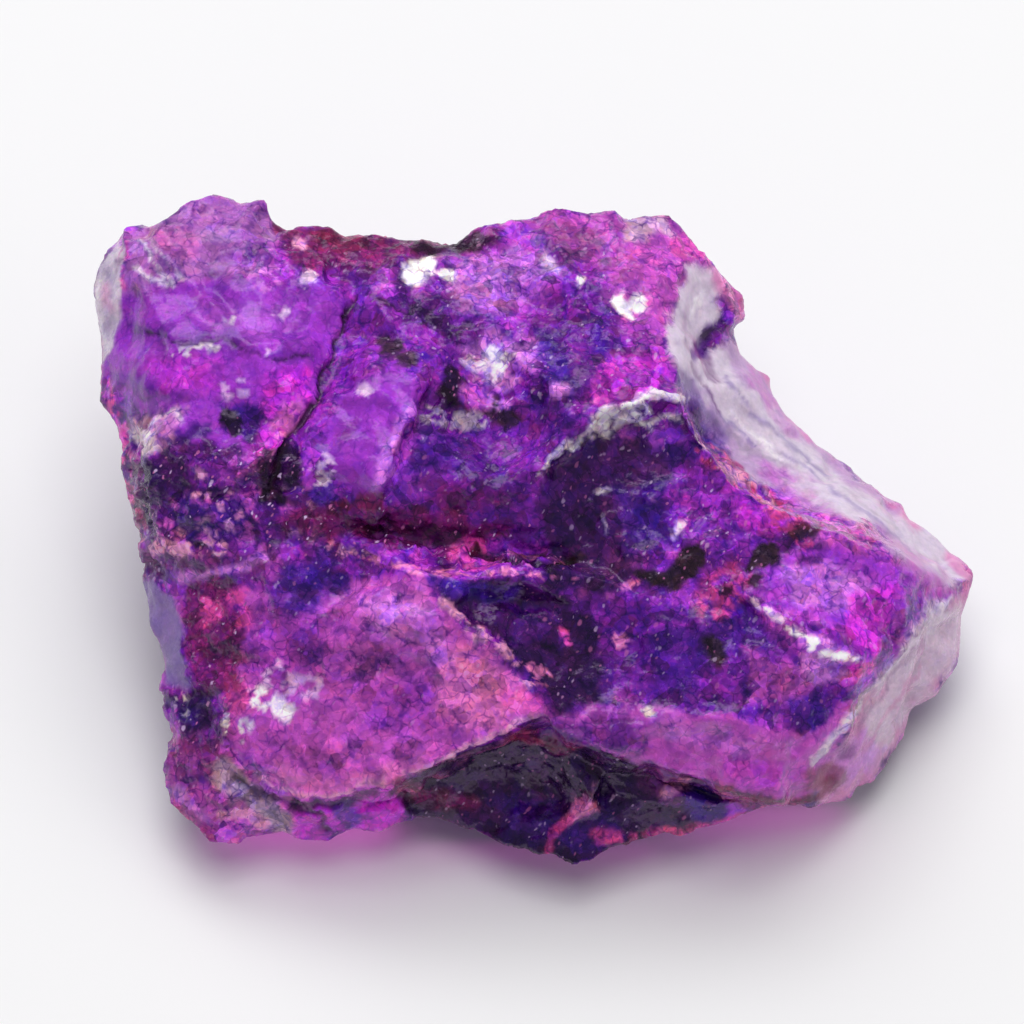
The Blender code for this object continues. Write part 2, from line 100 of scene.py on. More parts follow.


# Every mark of the side that the drawing shows, by part of the lump. A later mark lies over an earlier one.
# Soft is how wide its edge fades, broken how far its edge frays, cover how much of its colour it lays on, and
# share the part of the grains that take it. Gloss is its roughness, height what it adds to the surface in
# millimetres, calm how smooth it is, and the last value how brightly it glows as a painted highlight.
MARKS = (
    # Upper left face.
    patch("bright violet", (
        (-21.5, 11), (-19, 11.8), (-10.5, 12.2), (-9.6, 11), (-10.3, 8.5), (-11, 6.5), (-12.5, 4.5),
        (-15, 3), (-17.5, 4), (-20.5, 5.8), (-21.8, 7.5),
    ), cover=0.88, calm=0.7),
    patch("lilac", (
        (-17.4, 10.6), (-14, 11.2), (-12.4, 10), (-13.6, 8.8), (-16.6, 9.4),
    ), soft=1.0, cover=0.22, calm=0.7),
    streak("deep violet", (
        (-20.6, 9.6), (-19, 9.5), (-17.6, 9), (-16, 9.1), (-14.8, 8.5),
    ), 0.8, soft=0.7, cover=0.6),
    streak("deep violet", (
        (-15.6, 12.4), (-16, 10.8), (-15.4, 9.4), (-15.2, 8.6),
    ), 0.5, soft=0.5, cover=0.45),
    streak("deep violet", ((-19, 9.2), (-18.4, 7.8), (-18.6, 6.4)), 0.5, soft=0.5, cover=0.4),
    streak("deep violet", ((-11.4, 11.8), (-11.8, 10), (-12.6, 8.4)), 0.5, soft=0.6, cover=0.4),
    streak("indigo", ((-20.8, 7), (-19.4, 6.6), (-18, 6.2)), 0.6, soft=0.6, cover=0.45),
    patch("soft mauve", (
        (-20.9, 14.3), (-19.5, 15.2), (-16.8, 16.4), (-14.5, 16.2), (-13.4, 15.3), (-13, 14),
        (-13.5, 12.2), (-17, 12), (-19.5, 11.7), (-20.8, 11),
    ), soft=0.9, cover=0.85, calm=0.5),
    patch("violet", ((-15.5, 13.5), (-13, 14), (-10, 12.8), (-10, 11.5), (-14, 11.5)), cover=0.6),
    patch("magenta", (
        (-13.5, 7.5), (-11, 7.4), (-12, 5.5), (-13.3, 3.5), (-14.5, 3.3), (-15, 4.6), (-13.8, 5.6),
    ), cover=0.7),
    patch("magenta", ((-19.5, 8), (-16, 8), (-15.8, 6.6), (-19, 6.4)), soft=0.9, cover=0.45),
    streak("pink", ((-13, 4.7), (-12.4, 5.6)), 1.1, soft=0.5, cover=0.6, share=0.8),
    patch("indigo", (
        (-15.9, 5.9), (-14.8, 5.9), (-13.2, 5.1), (-13.9, 4.4), (-14.5, 3.8), (-15.8, 4.3),
    ), cover=0.95, broken=0.4),
    streak("black", ((-15.4, 5.3), (-15.2, 4.4)), 0.9, broken=0.3),
    streak("indigo", ((-17.9, 4.2), (-16.8, 4.5)), 0.7, broken=0.3, cover=0.8),
    # Top edge, its dark dip and the pink shoulder on its right.
    patch("maroon", (
        (-13.4, 14.9), (-10, 14.7), (-7, 14.2), (-3.5, 14.3), (-2, 15.2), (-2, 13.8), (-4, 12.9),
        (-7, 12.9), (-9.5, 12.2), (-12.4, 12.8), (-13, 14),
    ), soft=0.8, cover=0.85),
    streak("brick", ((-11, 14.3), (-9.4, 14)), 1.2, cover=0.6, broken=0.4),
    streak("black", ((-6, 13.6), (-4.2, 13.7), (-3, 14)), 0.9, cover=0.8, broken=0.3),
    patch("mauve", (
        (-1, 15.6), (3, 15.7), (7, 15), (9, 13.5), (8, 11.5), (6, 8.5), (4, 9.5), (3, 12.3), (1, 13.5),
    ), soft=0.9, cover=0.85, calm=0.35),
    patch("plum", ((0.6, 14.6), (3, 14.6), (3.2, 12.9), (1, 12.6)), soft=0.8, cover=0.6),
    patch("frost and sheen", ((4, 15.2), (6.3, 15.2), (6.6, 14.4), (4.4, 14)), cover=0.5),
    streak("hot pink", ((7.2, 13.8), (8.4, 13.6)), 1.2, cover=0.5, broken=0.4),
    # Upper middle, right of the fissure.
    patch("violet", (
        (-9.4, 11), (-7, 11), (-6.5, 9), (-7, 7.8), (-9.8, 6.3), (-10.5, 7), (-9.8, 9),
    ), cover=0.85),
    patch("deep violet", ((-7.2, 11.6), (-3, 10.5), (-2.5, 9.4), (-6.4, 9), (-7, 10)), cover=0.75),
    streak("black", ((-6.3, 10.2), (-4.6, 9.7), (-3.5, 9.9)), 1.0, cover=0.65, share=0.65),
    # The lilac here is partly painted highlight, on little faces that catch the light.
    patch("lilac", (
        (-5, 13), (-1, 13.5), (1, 12.6), (0, 11), (-2, 10.4), (-3.5, 10.6), (-4.5, 11.8),
    ), soft=0.9, cover=0.6),
    patch("deep violet", (
        (-0.5, 11.5), (2.8, 11.6), (4.2, 9.6), (3.6, 8), (0, 6.6), (-0.8, 9),
    ), soft=0.8, cover=0.6),
    patch("violet", ((-2, 12.6), (1.2, 12.4), (2.6, 10.5), (0, 9.2)), cover=0.35),
    patch("lilac", ((-4.3, 8.8), (-2, 9.6), (0, 8.8), (-0.5, 7.3), (-3, 6.9)), cover=0.55),
    patch("magenta", ((3, 7.8), (5, 8.9), (6.4, 7.5), (5.8, 6.3), (4, 5.7), (2.4, 5.9)), cover=0.5),
    patch("violet", ((4.2, 10), (5.6, 9.6), (6, 8.2), (4.4, 8.4)), cover=0.6),
    streak("blue", ((0.4, 9.3), (0.7, 8.1), (1.2, 7.2)), 1.1, soft=0.5, broken=0.5, cover=0.65),
    streak("blue", ((2.9, 8.8),), 0.8, soft=0.4, broken=0.3, cover=0.65),
    streak("blue", ((-9, 12.2), (-9, 11)), 0.9, soft=0.4, cover=0.6, broken=0.3),
    # Slab beside the fissure, with a painted highlight in lilac along its right edge, and the dark ground on
    # its right, partly painted shadow below the slab's step.
    patch("bright violet", (
        (-9.8, 6.3), (-9, 7), (-7, 8), (-6.1, 7.4), (-6, 6.3), (-6.4, 5), (-7, 3.8), (-7.5, 2.3),
        (-8.1, 0.8), (-8.8, 0.6), (-9.5, 1.4), (-10.3, 2.5), (-10.8, 3.8), (-10.9, 4.5), (-10, 5.5),
    ), soft=0.25, broken=0.2, cover=0.9, gloss=0.16, calm=0.7),
    patch("lilac", (
        (-7.2, 5), (-6.4, 6), (-6.3, 5.3), (-6.9, 3.8), (-7.8, 1.8), (-8.4, 1.1), (-8.1, 3),
    ), soft=0.3, broken=0.15, cover=0.75, gloss=0.16),
    patch("plum", ((-10, 4.6), (-8.9, 5), (-8.8, 3.6), (-10.2, 3.6)), cover=0.35),
    patch("deep violet", (
        (-5.8, 6), (-2, 4.9), (0, 3.5), (-0.5, 1), (-3, -1), (-7, -0.4), (-7.9, 0.8), (-7, 2.8),
        (-6.2, 4.4),
    ), soft=0.3, cover=0.85),
    patch("indigo", ((-6, 4.4), (-3.6, 4.2), (-4, 2.4), (-6.6, 2.6)), cover=0.6),
    patch("maroon", ((-5.6, 1.8), (-2.6, 2.2), (-1.2, 0.6), (-5, 0.2)), soft=0.8, cover=0.5),
    patch("violet", ((-2.4, 4.7), (0.2, 4.5), (0, 2.6), (-2.4, 2.8)), cover=0.7),
    # The grainy dark ground at the left edge; its sparse pale blush grains are painted glints.
    patch("night", (
        (-20.4, 3), (-18, 3.9), (-15.5, 4), (-13.8, 2.5), (-12, 1.6), (-10.3, 0.6), (-10, -1.3),
        (-12, -1.6), (-15, -1.5), (-19, -1.8), (-20, -1), (-20.6, 1.5),
    ), soft=0.8, broken=1.6, cover=0.68, gloss=0.14),
    patch("mauve", ((-19, 2.6), (-14, 2.6), (-12, 0), (-14, -1.4), (-19.4, -1.4)), cover=0.7, share=0.3),
    patch("violet", ((-17.8, 3.2), (-15.2, 3.2), (-14.6, 1.6), (-17, 1.6)), soft=0.6, cover=0.75),
    patch("blush", ((-19, 2.6), (-11.4, 0.8), (-11, -1), (-14, -1.4), (-19.4, -1.4)), cover=0.85, share=0.09),
    patch("blue", ((-18.3, 1.2), (-14.8, 0.8), (-14.6, -1), (-17.8, -1)), soft=0.8, cover=0.5),
    patch("deep violet", ((-14.4, 0.6), (-12, 0.4), (-11.6, -0.8), (-14, -1)), cover=0.6),
    patch("black", (
        (-13.6, 3.4), (-12.5, 4.1), (-12, 2.5), (-12.2, 0.9), (-13.5, 0.7), (-14, 2),
    ), soft=0.4, cover=0.9),
    streak("blue", ((-10.9, 1.5), (-10.6, 0.9)), 1.1, soft=0.4, broken=0.3),
    # Flake brink and the very dark ground below it; the brink's pale lips, partly painted highlight, come
    # further on.
    patch("night", (
        (1, 3.2), (3, 4.3), (5, 3.8), (7.8, 4.1), (7.6, 1), (5, -2), (3, -4), (1, -3.5), (0, -2),
        (-0.5, 1),
    ), soft=0.8, broken=0.8, cover=0.85, gloss=0.14),
    patch("blue", ((5, 5), (8, 4.6), (8, 2.6), (5, 3)), soft=0.9, cover=0.35),
    patch("indigo", ((3.8, 1.4), (7.2, 2.2), (7.6, -0.4), (4.2, -2)), soft=0.9, cover=0.75),
    patch("deep violet", ((-2.2, 0.6), (0, 0.4), (0.4, -1.4), (-2, -1.4)), cover=0.75),
    # Crest on the right, and the violet ground under it.
    patch("violet", (
        (7, 2.6), (10, 2), (13.4, -0.6), (11, -2), (8, -1.6), (6, 0),
    ), soft=0.7, cover=0.85),
    patch("magenta", ((9.6, 0.8), (12.4, 0.2), (12.2, -1), (10, -0.6)), cover=0.45),
    patch("mauve", (
        (12, 1.6), (15, 0.6), (18, -1), (18.5, -3), (15, -1.6), (13, -0.6),
    ), soft=0.7, cover=0.75),
    # Back bevel: pale, streaked and thin. Its paleness is partly frosted surface and partly painted
    # reflection of the bright sky, and its white streaks are painted glints.
    patch("frost and sheen", (
        (7.6, 12.9), (9.2, 12.4), (9, 9.5), (8.2, 8.5), (10.2, 9), (11.7, 7.2), (13.2, 4.9), (16.2, 2),
        (19.4, -0.2), (22, -2.8), (19.8, -3.4), (18.4, -2.6), (16.5, -0.2), (14, 0.4), (12, 1.7),
        (10, 2.4), (8.8, 4.3), (8, 5.8), (7, 6.9), (6.4, 8.5), (6.6, 10.5),
    ), soft=0.5, broken=0.35, cover=0.94, gloss=0.3, calm=1.0),
    patch("soft mauve", (
        (9, 8.7), (10.5, 9), (12, 7), (12.6, 5.4), (11.4, 5.9), (10, 6.9),
    ), cover=0.55, calm=0.85),
    patch("lilac", ((11.2, 2.6), (13.4, 1.4), (14.4, 0.4), (12.2, 1)), soft=0.7, cover=0.5, calm=0.8),
    patch("soft mauve", (
        (7.2, 6.8), (8.2, 6.6), (9.6, 4.4), (12.2, 2.2), (11.2, 1.9), (9.4, 3), (8.4, 4.6),
    ), soft=0.6, cover=0.5, calm=0.85),
    streak("plum", ((6.4, 8.2), (7.4, 6.9), (8.2, 5.6), (8.9, 4.3)), 0.3, cover=0.65, height=-0.1),
    streak("grey", ((7.4, 7), (8.6, 5), (10.4, 3.6), (12.6, 2.6)), 0.22, cover=0.55),
    streak("grey", ((9.6, 6), (12, 4), (15, 1.8), (18, -0.4)), 0.18, cover=0.4, broken=0.05),
    streak("grey", ((6.8, 10.8), (7.5, 9.6), (7.8, 8.6)), 0.18, cover=0.45, broken=0.05),
    streak("slate violet", ((7.1, 7.2), (7.9, 5.8), (8.9, 4.2)), 0.9, soft=0.5, cover=0.6, calm=0.85),
    streak("slate violet", ((8.2, 6.6), (9.4, 4.8), (10.6, 3.8)), 0.16, cover=0.7, broken=0.05),
    streak("plum", ((7.6, 8), (8.1, 6.8), (9, 5.4)), 0.2, cover=0.6, broken=0.05, height=-0.06),
    patch("mauve", (
        (10.4, 7.9), (11.6, 7.3), (13, 5), (13.2, 4), (12.5, 3.9), (11.6, 5.4), (10.6, 6.7),
    ), soft=0.5, cover=0.5, calm=0.8),
    patch("mauve", (
        (11.2, 2.8), (12.6, 2.3), (14.2, 1), (15.6, 0), (14, 0.3), (12, 1.5),
    ), soft=0.7, broken=0.6, cover=0.55, calm=0.6),
    streak("soft mauve", (
        (12.9, 4.6), (14.6, 3), (16.4, 1.6), (18, 0.6),
    ), 0.6, soft=0.5, cover=0.6, calm=0.85),
    streak("slate violet", ((9.2, 7.2), (10.6, 5.4), (12.4, 3.8), (14.4, 2.2)), 0.2, cover=0.55, broken=0.08),
    streak("slate violet", (
        (12.2, 3.4), (14.2, 1.8), (16.6, 0.2), (18.6, -1.6),
    ), 0.16, cover=0.5, broken=0.06),
    streak("soft mauve", ((16.8, -0.6), (18.4, -1.8), (20, -3)), 0.8, soft=0.6, cover=0.6, calm=0.8),
    streak("mauve", ((18.2, -2.4), (19.4, -3.1), (20.6, -3.9)), 0.9, soft=0.5, cover=0.75, calm=0.8),
    streak("highlight white", ((9.6, 5.2), (10.8, 4.2), (12.2, 3)), 0.2, broken=0.06, cover=0.6, calm=0.8),
    streak("highlight white", ((8.2, 11.4), (7.6, 10.2)), 0.3, broken=0.1, cover=0.6, calm=0.8),
    # Right face: bright magenta, with a bright broken step on its lower side.
    patch("bright violet", (
        (10.6, -2.2), (14.5, -1.2), (17.6, -2.2), (18.7, -3), (18.2, -4.5), (16.2, -6.6), (15.5, -6.2),
        (13, -4.4), (10.5, -3.6),
    ), soft=0.6, cover=0.95, calm=0.4),
    patch("lilac", ((11.6, -2.6), (14.5, -2), (16.6, -3.2), (15.6, -4.6), (13, -4.3)), cover=0.65),
    patch("magenta", ((15, -3.6), (17.8, -3.4), (17.4, -5.6), (16.1, -6.8), (15.3, -5.8)), cover=0.75),
    # Lower face, dark blue-violet with lighter grains.
    patch("deep violet", (
        (3, -4), (7, -4), (10.5, -4), (12.5, -6), (15.4, -8), (14.4, -10.2), (12.5, -10), (8, -9.3),
        (4, -9), (1, -8.5), (3, -6),
    ), soft=0.7, cover=0.88),
    patch("indigo", ((5, -4.8), (10.4, -4.6), (12, -6.2), (9, -7), (5.4, -6.4)), cover=0.65),
    patch("blue", ((5.6, -6.8), (8.2, -6.6), (8, -8.6), (5.4, -8.4)), soft=0.8, cover=0.5),
    patch("violet", ((8, -7.4), (10, -7), (9.8, -8.8), (8, -8.8)), cover=0.6),
    patch("mauve", ((10.2, -6.4), (13.6, -7.6), (13.2, -9.2), (10.2, -8.8)), soft=0.8, cover=0.6),
    patch("blue", ((12.2, -8.8), (14.2, -8.8), (13.8, -10.4), (12.3, -10.2)), cover=0.7),
    patch("rose", (
        (8, -2.7), (9.8, -2), (10.6, -3), (9.4, -4.8), (8, -5), (7.3, -4),
    ), cover=0.75, share=0.75),
    streak("violet", ((5, -5.6), (6.3, -5.1), (8, -4.9)), 0.2, cover=0.7, height=0.06),
    # Ledge groove and lip across the middle; the groove's maroon and black are partly painted shade under the
    # lip.
    patch("maroon", (
        (-13, 0), (-10, 0.9), (-7, 0.9), (-3, 0.2), (-0.6, -0.8), (-3, -1.5), (-7, -1.4), (-10, -1.1),
        (-12.4, -1),
    ), soft=0.6, broken=0.8, cover=0.75),
    patch("black", ((-9.5, 0), (-6, 0.1), (-2.4, -0.4), (-3, -1.3), (-8, -1.3)), cover=0.7, share=0.75),
    streak("brick", ((-10, 0.8), (-8, 0.9)), 0.9, cover=0.7, broken=0.4, share=0.8),
    streak("hot pink", ((-3.6, -1.7), (-3, -1.9)), 1.5, soft=0.4, cover=0.7, broken=0.5, share=0.65),
    patch("plum", (
        (-19.8, -1.6), (-16, -1.4), (-13.8, -1.4), (-14.6, -2.3), (-18, -3), (-19.8, -2.6),
    ), cover=0.7),
    # Dark face under the ledge.
    patch("night", (
        (-5.8, -2.9), (-2, -3), (1, -3.4), (3, -6), (3.2, -9), (1, -9.4), (-0.5, -7.6), (-2, -6),
        (-4, -4.8),
    ), soft=0.5, cover=0.9),
    streak("blue", ((-5.4, -3.1), (-3.5, -3.5), (-1.5, -3.6)), 0.8, soft=0.4, cover=0.75),
    patch("deep violet", ((-3, -4.4), (0.6, -4.4), (1.4, -6.4), (-1.4, -6)), cover=0.35),
    # Pink face.
    patch("mauve", (
        (-14.8, -3.4), (-12, -3.8), (-9, -3), (-5.8, -2.9), (-5, -4), (-3, -6), (-0.6, -8.2),
        (0.2, -9.4), (-2, -10.5), (-4, -11.2), (-6, -12.5), (-8.5, -13.8), (-11, -14), (-13, -13.2),
        (-15, -11.7), (-15.6, -9), (-15.1, -6.5),
    ), soft=0.4, broken=0.35, cover=0.92, gloss=0.2, calm=0.5),
    patch("violet", ((-14.6, -4), (-11, -4.6), (-10.6, -7.4), (-14.8, -8)), soft=1.0, cover=0.55),
    patch("lilac", ((-9.5, -3.6), (-5.6, -3.6), (-4.6, -6.4), (-8.4, -6)), soft=1.0, cover=0.4),
    patch("plum", ((-12.4, -5.9), (-9, -6.2), (-6, -7.4), (-9.6, -7.8), (-12, -7)), cover=0.4),
    patch("pink", (
        (-5.4, -6.4), (-3.2, -6.2), (-0.9, -8.3), (-0.4, -9.3), (-2.6, -10.3), (-5.2, -9.6),
    ), soft=0.9, cover=0.6),
    patch("violet", ((-9.4, -8), (-5.4, -8), (-5, -10.4), (-9, -10.6)), soft=1.0, cover=0.5),
    patch("plum", (
        (-13, -11), (-9, -11.2), (-5.6, -10.6), (-6.4, -11.9), (-11, -12.2),
    ), cover=0.55, share=0.8),
    streak("pink", ((-13, -12.4), (-10.5, -13.3), (-8, -13), (-6, -12)), 0.9, soft=0.4, cover=0.5),
    streak("blush", (
        (-15, -12.2), (-13, -13.2), (-10.5, -13.75), (-8, -13), (-5.5, -12.25), (-3.5, -11), (0, -9.6),
    ), 0.26, share=0.85, height=0.08),
    patch("deep violet", ((-13, -5.8), (-11.4, -5.4), (-10.2, -6.4), (-11.6, -7.4)), soft=0.3, cover=0.5),
    patch("plum", ((-9.4, -6.6), (-7.8, -6.2), (-7, -7.2), (-8.6, -7.9)), soft=0.3, cover=0.6),
    patch("deep violet", ((-7.6, -8.6), (-6.2, -8.2), (-5.8, -9.2), (-7.2, -9.4)), soft=0.3, cover=0.45),
    patch("lilac", ((-8.6, -4.2), (-7.4, -3.8), (-6.4, -4.8), (-7.6, -5.6)), soft=0.3, cover=0.6),
    patch("lilac", ((-6.2, -6), (-5, -5.8), (-4.2, -7), (-5.4, -7.4)), soft=0.3, cover=0.5),
    patch("pink", ((-4, -7.2), (-2.8, -7), (-2, -8.2), (-3.4, -8.6)), soft=0.3, cover=0.6),
    streak("deep violet", (
        (-11.8, -4.6), (-9.4, -5.4), (-7.4, -6.6), (-5.8, -8.4),
    ), 0.3, soft=0.3, cover=0.5),
    streak("deep violet", ((-5.2, -4.6), (-6.4, -6.2), (-8.6, -7.6), (-11, -8)), 0.25, soft=0.3, cover=0.5),
    patch("indigo", (
        (-12.9, -1.9), (-10.8, -2.2), (-9.7, -3), (-10.8, -4.5), (-12.9, -4.9), (-13.4, -3.3),
    ), soft=0.6, cover=0.85),
    # Grey slab and broken ground at the left edge.
    patch("slate violet", (
        (-20.1, -2.9), (-19, -3.2), (-18.1, -4), (-17.9, -6), (-17.5, -8.3), (-18.6, -8.2), (-19, -6.8),
        (-19.7, -5.3), (-20.1, -4),
    ), soft=0.25, broken=0.12, cover=0.9, gloss=0.2, calm=0.9),
    patch("maroon", (
        (-18, -3), (-15.3, -2.8), (-14.6, -5), (-15, -8.5), (-17, -9), (-17.8, -6),
    ), soft=0.4, broken=0.7, cover=0.8),
    patch("hot pink", ((-17, -3.9), (-15.8, -3.7), (-15.9, -5.4), (-16.9, -5.4)), cover=0.85, share=0.85),
    streak("hot pink", ((-14.9, -3.7), (-14.7, -5.2)), 0.9, soft=0.4, broken=0.4, share=0.7),
    patch("rose", ((-16, -8.2), (-14.6, -7.6), (-14.4, -9.6), (-15.8, -9.8)), cover=0.7),
    patch("night", ((-18.6, -8.8), (-16.4, -8.4), (-16, -10.4), (-17.8, -11)), cover=0.85),
    patch("blue", ((-18.6, -9), (-16.6, -9), (-17, -10), (-18.4, -10)), cover=0.4),
    # Lower left block and the bright chip beside it.
    patch("mauve", (
        (-18.8, -11), (-15.5, -11.2), (-13.4, -13.2), (-11.5, -14), (-12, -16.2), (-16.3, -16.3),
        (-19, -14),
    ), soft=0.5, cover=0.75),
    patch("plum", ((-18.8, -10.6), (-16.4, -10.6), (-15.8, -13), (-18.8, -13.6)), cover=0.7),
    patch("maroon", ((-18.2, -11), (-16, -11.2), (-14.6, -13), (-15.4, -14), (-17, -12.6)), cover=0.6),
    patch("deep violet", ((-14.4, -14.4), (-12.6, -14.4), (-12.4, -15.6), (-14, -15.8)), cover=0.55),
    patch("slate violet", ((-18.6, -13.2), (-17.4, -13.4), (-16.6, -15), (-18, -14.8)), cover=0.5),
    streak("rose", ((-18.8, -13.9), (-17.9, -14.7), (-16.8, -15.6)), 1.1, soft=0.5, cover=0.7),
    streak("grey", ((-15.8, -12.6), (-15.2, -13.2)), 1.3, soft=0.4, cover=0.6),
    streak("grey", ((-14.8, -13.2), (-13.8, -14), (-12.6, -15.3)), 1.0, soft=0.5, cover=0.75),
    streak("blush", ((-15.9, -14.7), (-14.5, -14.5), (-13.8, -15.1)), 0.7, cover=0.8),
    patch("magenta", (
        (-12.1, -14.3), (-9.8, -14.1), (-8.8, -13.4), (-7.6, -13.3), (-6.6, -14), (-6.6, -14.9),
        (-7.3, -15.6), (-8.5, -15.9), (-9.8, -15.4), (-11, -16.3), (-12.4, -16.4), (-12.5, -15),
    ), soft=0.3, broken=0.3, cover=0.95, calm=0.4),
    patch("blue", (
        (-10.4, -14.2), (-9, -13.9), (-8.6, -14.8), (-9.6, -15.4),
    ), soft=0.3, broken=0.3, cover=0.85),
    streak("night", ((-12.4, -14.2), (-11, -14.7), (-10.4, -15.6)), 0.3, cover=0.8, height=-0.12),
    streak("black", ((-7, -13.6), (-6.2, -14.4), (-6, -15.2)), 0.5, cover=0.85, height=-0.1),
    streak("blush", ((-8.9, -15.6), (-8, -15.7), (-7, -15.4)), 0.24, cover=0.9),
    # A dark line under the pink face's pale lower lip: painted shadow, over a shallow groove.
    streak("night", (
        (-15.4, -12.8), (-13.4, -13.8), (-10.6, -14.3), (-8.2, -13.6),
    ), 0.36, cover=0.75, height=-0.16),
    # Hollow under the pink face, with the small blocks in it; its dark ground is partly painted shade.
    patch("night", (
        (-7, -13.3), (-5.5, -12.3), (-3.5, -11.3), (0, -10), (3, -11.3), (5, -12), (8, -12.9),
        (9.4, -14.2), (8, -15.4), (5, -16.3), (3, -17), (1, -17.4), (-2, -17), (-5, -15.6), (-6.6, -14.4),
    ), soft=0.3, broken=0.25, cover=0.94, gloss=0.2),
    patch("indigo", ((0.4, -14.8), (3.4, -14), (4.4, -15.8), (1.4, -16.8)), cover=0.45),
    patch("indigo", ((-2, -13.8), (0.8, -13.8), (0.6, -16), (-2, -15.8)), soft=0.8, cover=0.4),
    streak("brick", ((-1.5, -10.8), (0, -10.9), (1.7, -11.1)), 0.7, soft=0.4, cover=0.75),
    streak("maroon", ((-7, -13.3), (-5.5, -13.8), (-3.5, -14.2)), 0.8, soft=0.4, cover=0.8),
    patch("pink", (
        (1, -15), (1.5, -14), (2.1, -13.6), (3.2, -14.3), (2.1, -14.8),
    ), soft=0.2, broken=0.15, cover=0.8),
    streak("rose", ((0.3, -16.6), (0.7, -15.4), (1.4, -14.7)), 0.4, cover=0.75),
    streak("plum", ((5.6, -12.9), (6.6, -13.4)), 1.6, soft=0.5, cover=0.7, broken=0.4),
    streak("blush", ((7.2, -13.2), (6.2, -13.6)), 0.5, cover=0.7, share=0.8),
    streak("indigo", ((8, -14), (8.6, -14.4)), 1.5, soft=0.4),
    streak("rose", (
        (3, -15.7), (5.5, -15.8), (8, -15.5), (10.2, -14.7),
    ), 0.7, soft=0.3, cover=0.8, share=0.8),
    # Smooth apron over the hollow, and the bevel on the lower right.
    patch("mauve", (
        (0, -9.8), (3, -9.3), (5, -9.2), (9, -9.7), (13, -10.8), (15.6, -8.6), (14.7, -11.5),
        (13.4, -13.6), (12, -14), (9, -13.2), (7, -12.6), (3, -11.4),
    ), soft=0.3, broken=0.25, cover=0.92, gloss=0.18, calm=0.7),
    patch("deep violet", (
        (-0.2, -9.9), (4.6, -9.7), (5.4, -11.6), (3, -11.4), (0, -10.8),
    ), soft=0.7, cover=0.75),
    patch("lilac", ((5.6, -9.7), (9, -10.2), (12.6, -11.4), (9.6, -11.6), (6, -10.8)), soft=0.7, cover=0.35),
    patch("magenta", ((9, -12), (12.6, -12.2), (12.2, -13.5), (9.4, -13)), soft=0.7, cover=0.35),
    # The bevel on the lower right: pale, partly frosted surface and partly painted reflection of the bright
    # surroundings.
    patch("blush", (
        (22, -2.8), (21.9, -4), (21.2, -6.2), (19.7, -8.8), (17.8, -11.4), (15.2, -14), (13.6, -14.4),
        (13.5, -13), (14.8, -11.5), (16, -9), (18, -6.5), (20.5, -4.3),
    ), soft=0.4, broken=0.2, cover=0.94, gloss=0.24, calm=0.95),
    patch("frost and sheen", (
        (19.2, -4.4), (21.6, -4.6), (20.6, -7.4), (18.4, -10), (16.4, -12), (16, -9.6), (17.4, -7.2),
    ), soft=1.0, cover=0.75, calm=0.9),
    patch("lilac", ((14.2, -13.6), (15.8, -13), (17, -11.4), (16, -10.6), (14.4, -12)), cover=0.6, calm=0.8),
    patch("rose", ((15.6, -8.4), (16.6, -8.8), (15.6, -10.4), (14.6, -10.6)), cover=0.4),
    streak("frost and sheen", ((20.6, -4), (18, -6.4), (15.8, -9.2), (13.5, -12)), 0.3, cover=0.8, height=0.08),
    streak("frost and sheen", ((20.2, -4.8), (17.8, -7), (15.4, -10), (14, -11.6)), 0.16, cover=0.75),
    streak("plum", ((19.4, -5), (17.2, -7.2), (15.4, -9.6)), 0.14, cover=0.7, broken=0.05),
    streak("plum", ((19.2, -6), (17.4, -8), (15.8, -10.4)), 0.2, cover=0.4, broken=0.05),
    streak("blush", ((19, -7.2), (17.4, -9.6), (15.6, -12)), 0.25, cover=0.6),
    streak("plum", ((15.3, -11.6),), 1.0, soft=0.5, cover=0.7, broken=0.4),
    streak("brick", ((13.8, -12.8), (14.6, -12.7)), 1.2, soft=0.5, cover=0.75, broken=0.5),
    streak("brick", ((9, -13.5), (11, -14), (13, -14.1), (14.5, -13.2)), 0.5, soft=0.3, cover=0.8),
    # Pale lips where a flake or a grain stands up: partly frosted edges, partly painted highlights where they
    # catch the light.
    patch("frost and sheen", (
        (2, 4.1), (2.4, 4.9), (3.3, 5.6), (4, 5.3), (4.7, 5.8), (5.3, 5.3), (4.9, 4.6), (4.1, 4.9),
        (3.1, 4.6),
        (2.5, 3.9),
    ), soft=0.2, broken=0.3, cover=0.85, gloss=0.16),
    patch("frost and sheen", (
        (2, 4.2), (2.6, 5.2), (3.6, 5.9), (4.6, 5.7), (4.5, 4.7), (3.2, 4.4),
    ), soft=0.3, broken=0.3, cover=0.8, gloss=0.14, calm=0.5),
    streak("highlight white", (
        (7.2, 6), (6.2, 6.2), (5.2, 6.1), (4.7, 5.6), (4.9, 5), (5.4, 4.6),
    ), 0.34, broken=0.14, cover=0.85, height=0.08, calm=0.5),
    streak("frost and sheen", ((5.4, 4.8), (6.2, 5.1), (7, 4.9)), 0.28, broken=0.14, cover=0.75, calm=0.5),
    streak("violet", ((5.5, 5.5), (6.3, 5.6)), 0.5, broken=0.14, cover=0.6),
    streak("highlight white", ((1.6, 3.6), (2.4, 4.6), (3.2, 5.3), (3.9, 5.4)), 0.24, broken=0.15, height=0.08),
    streak("highlight white", ((3.9, 5), (4.2, 5.8), (4.9, 6), (5.5, 5.5)), 0.22, broken=0.15, height=0.08),
    streak("highlight white", ((2.3, 4.2), (3.2, 4.9), (4.3, 5)), 0.16, broken=0.2, share=0.8),
    streak("plum", ((2.2, 4.7), (2.9, 5.1)), 0.16, broken=0.15),
    streak("plum", ((3.4, 4.7), (4.2, 5.3)), 0.14, broken=0.15),
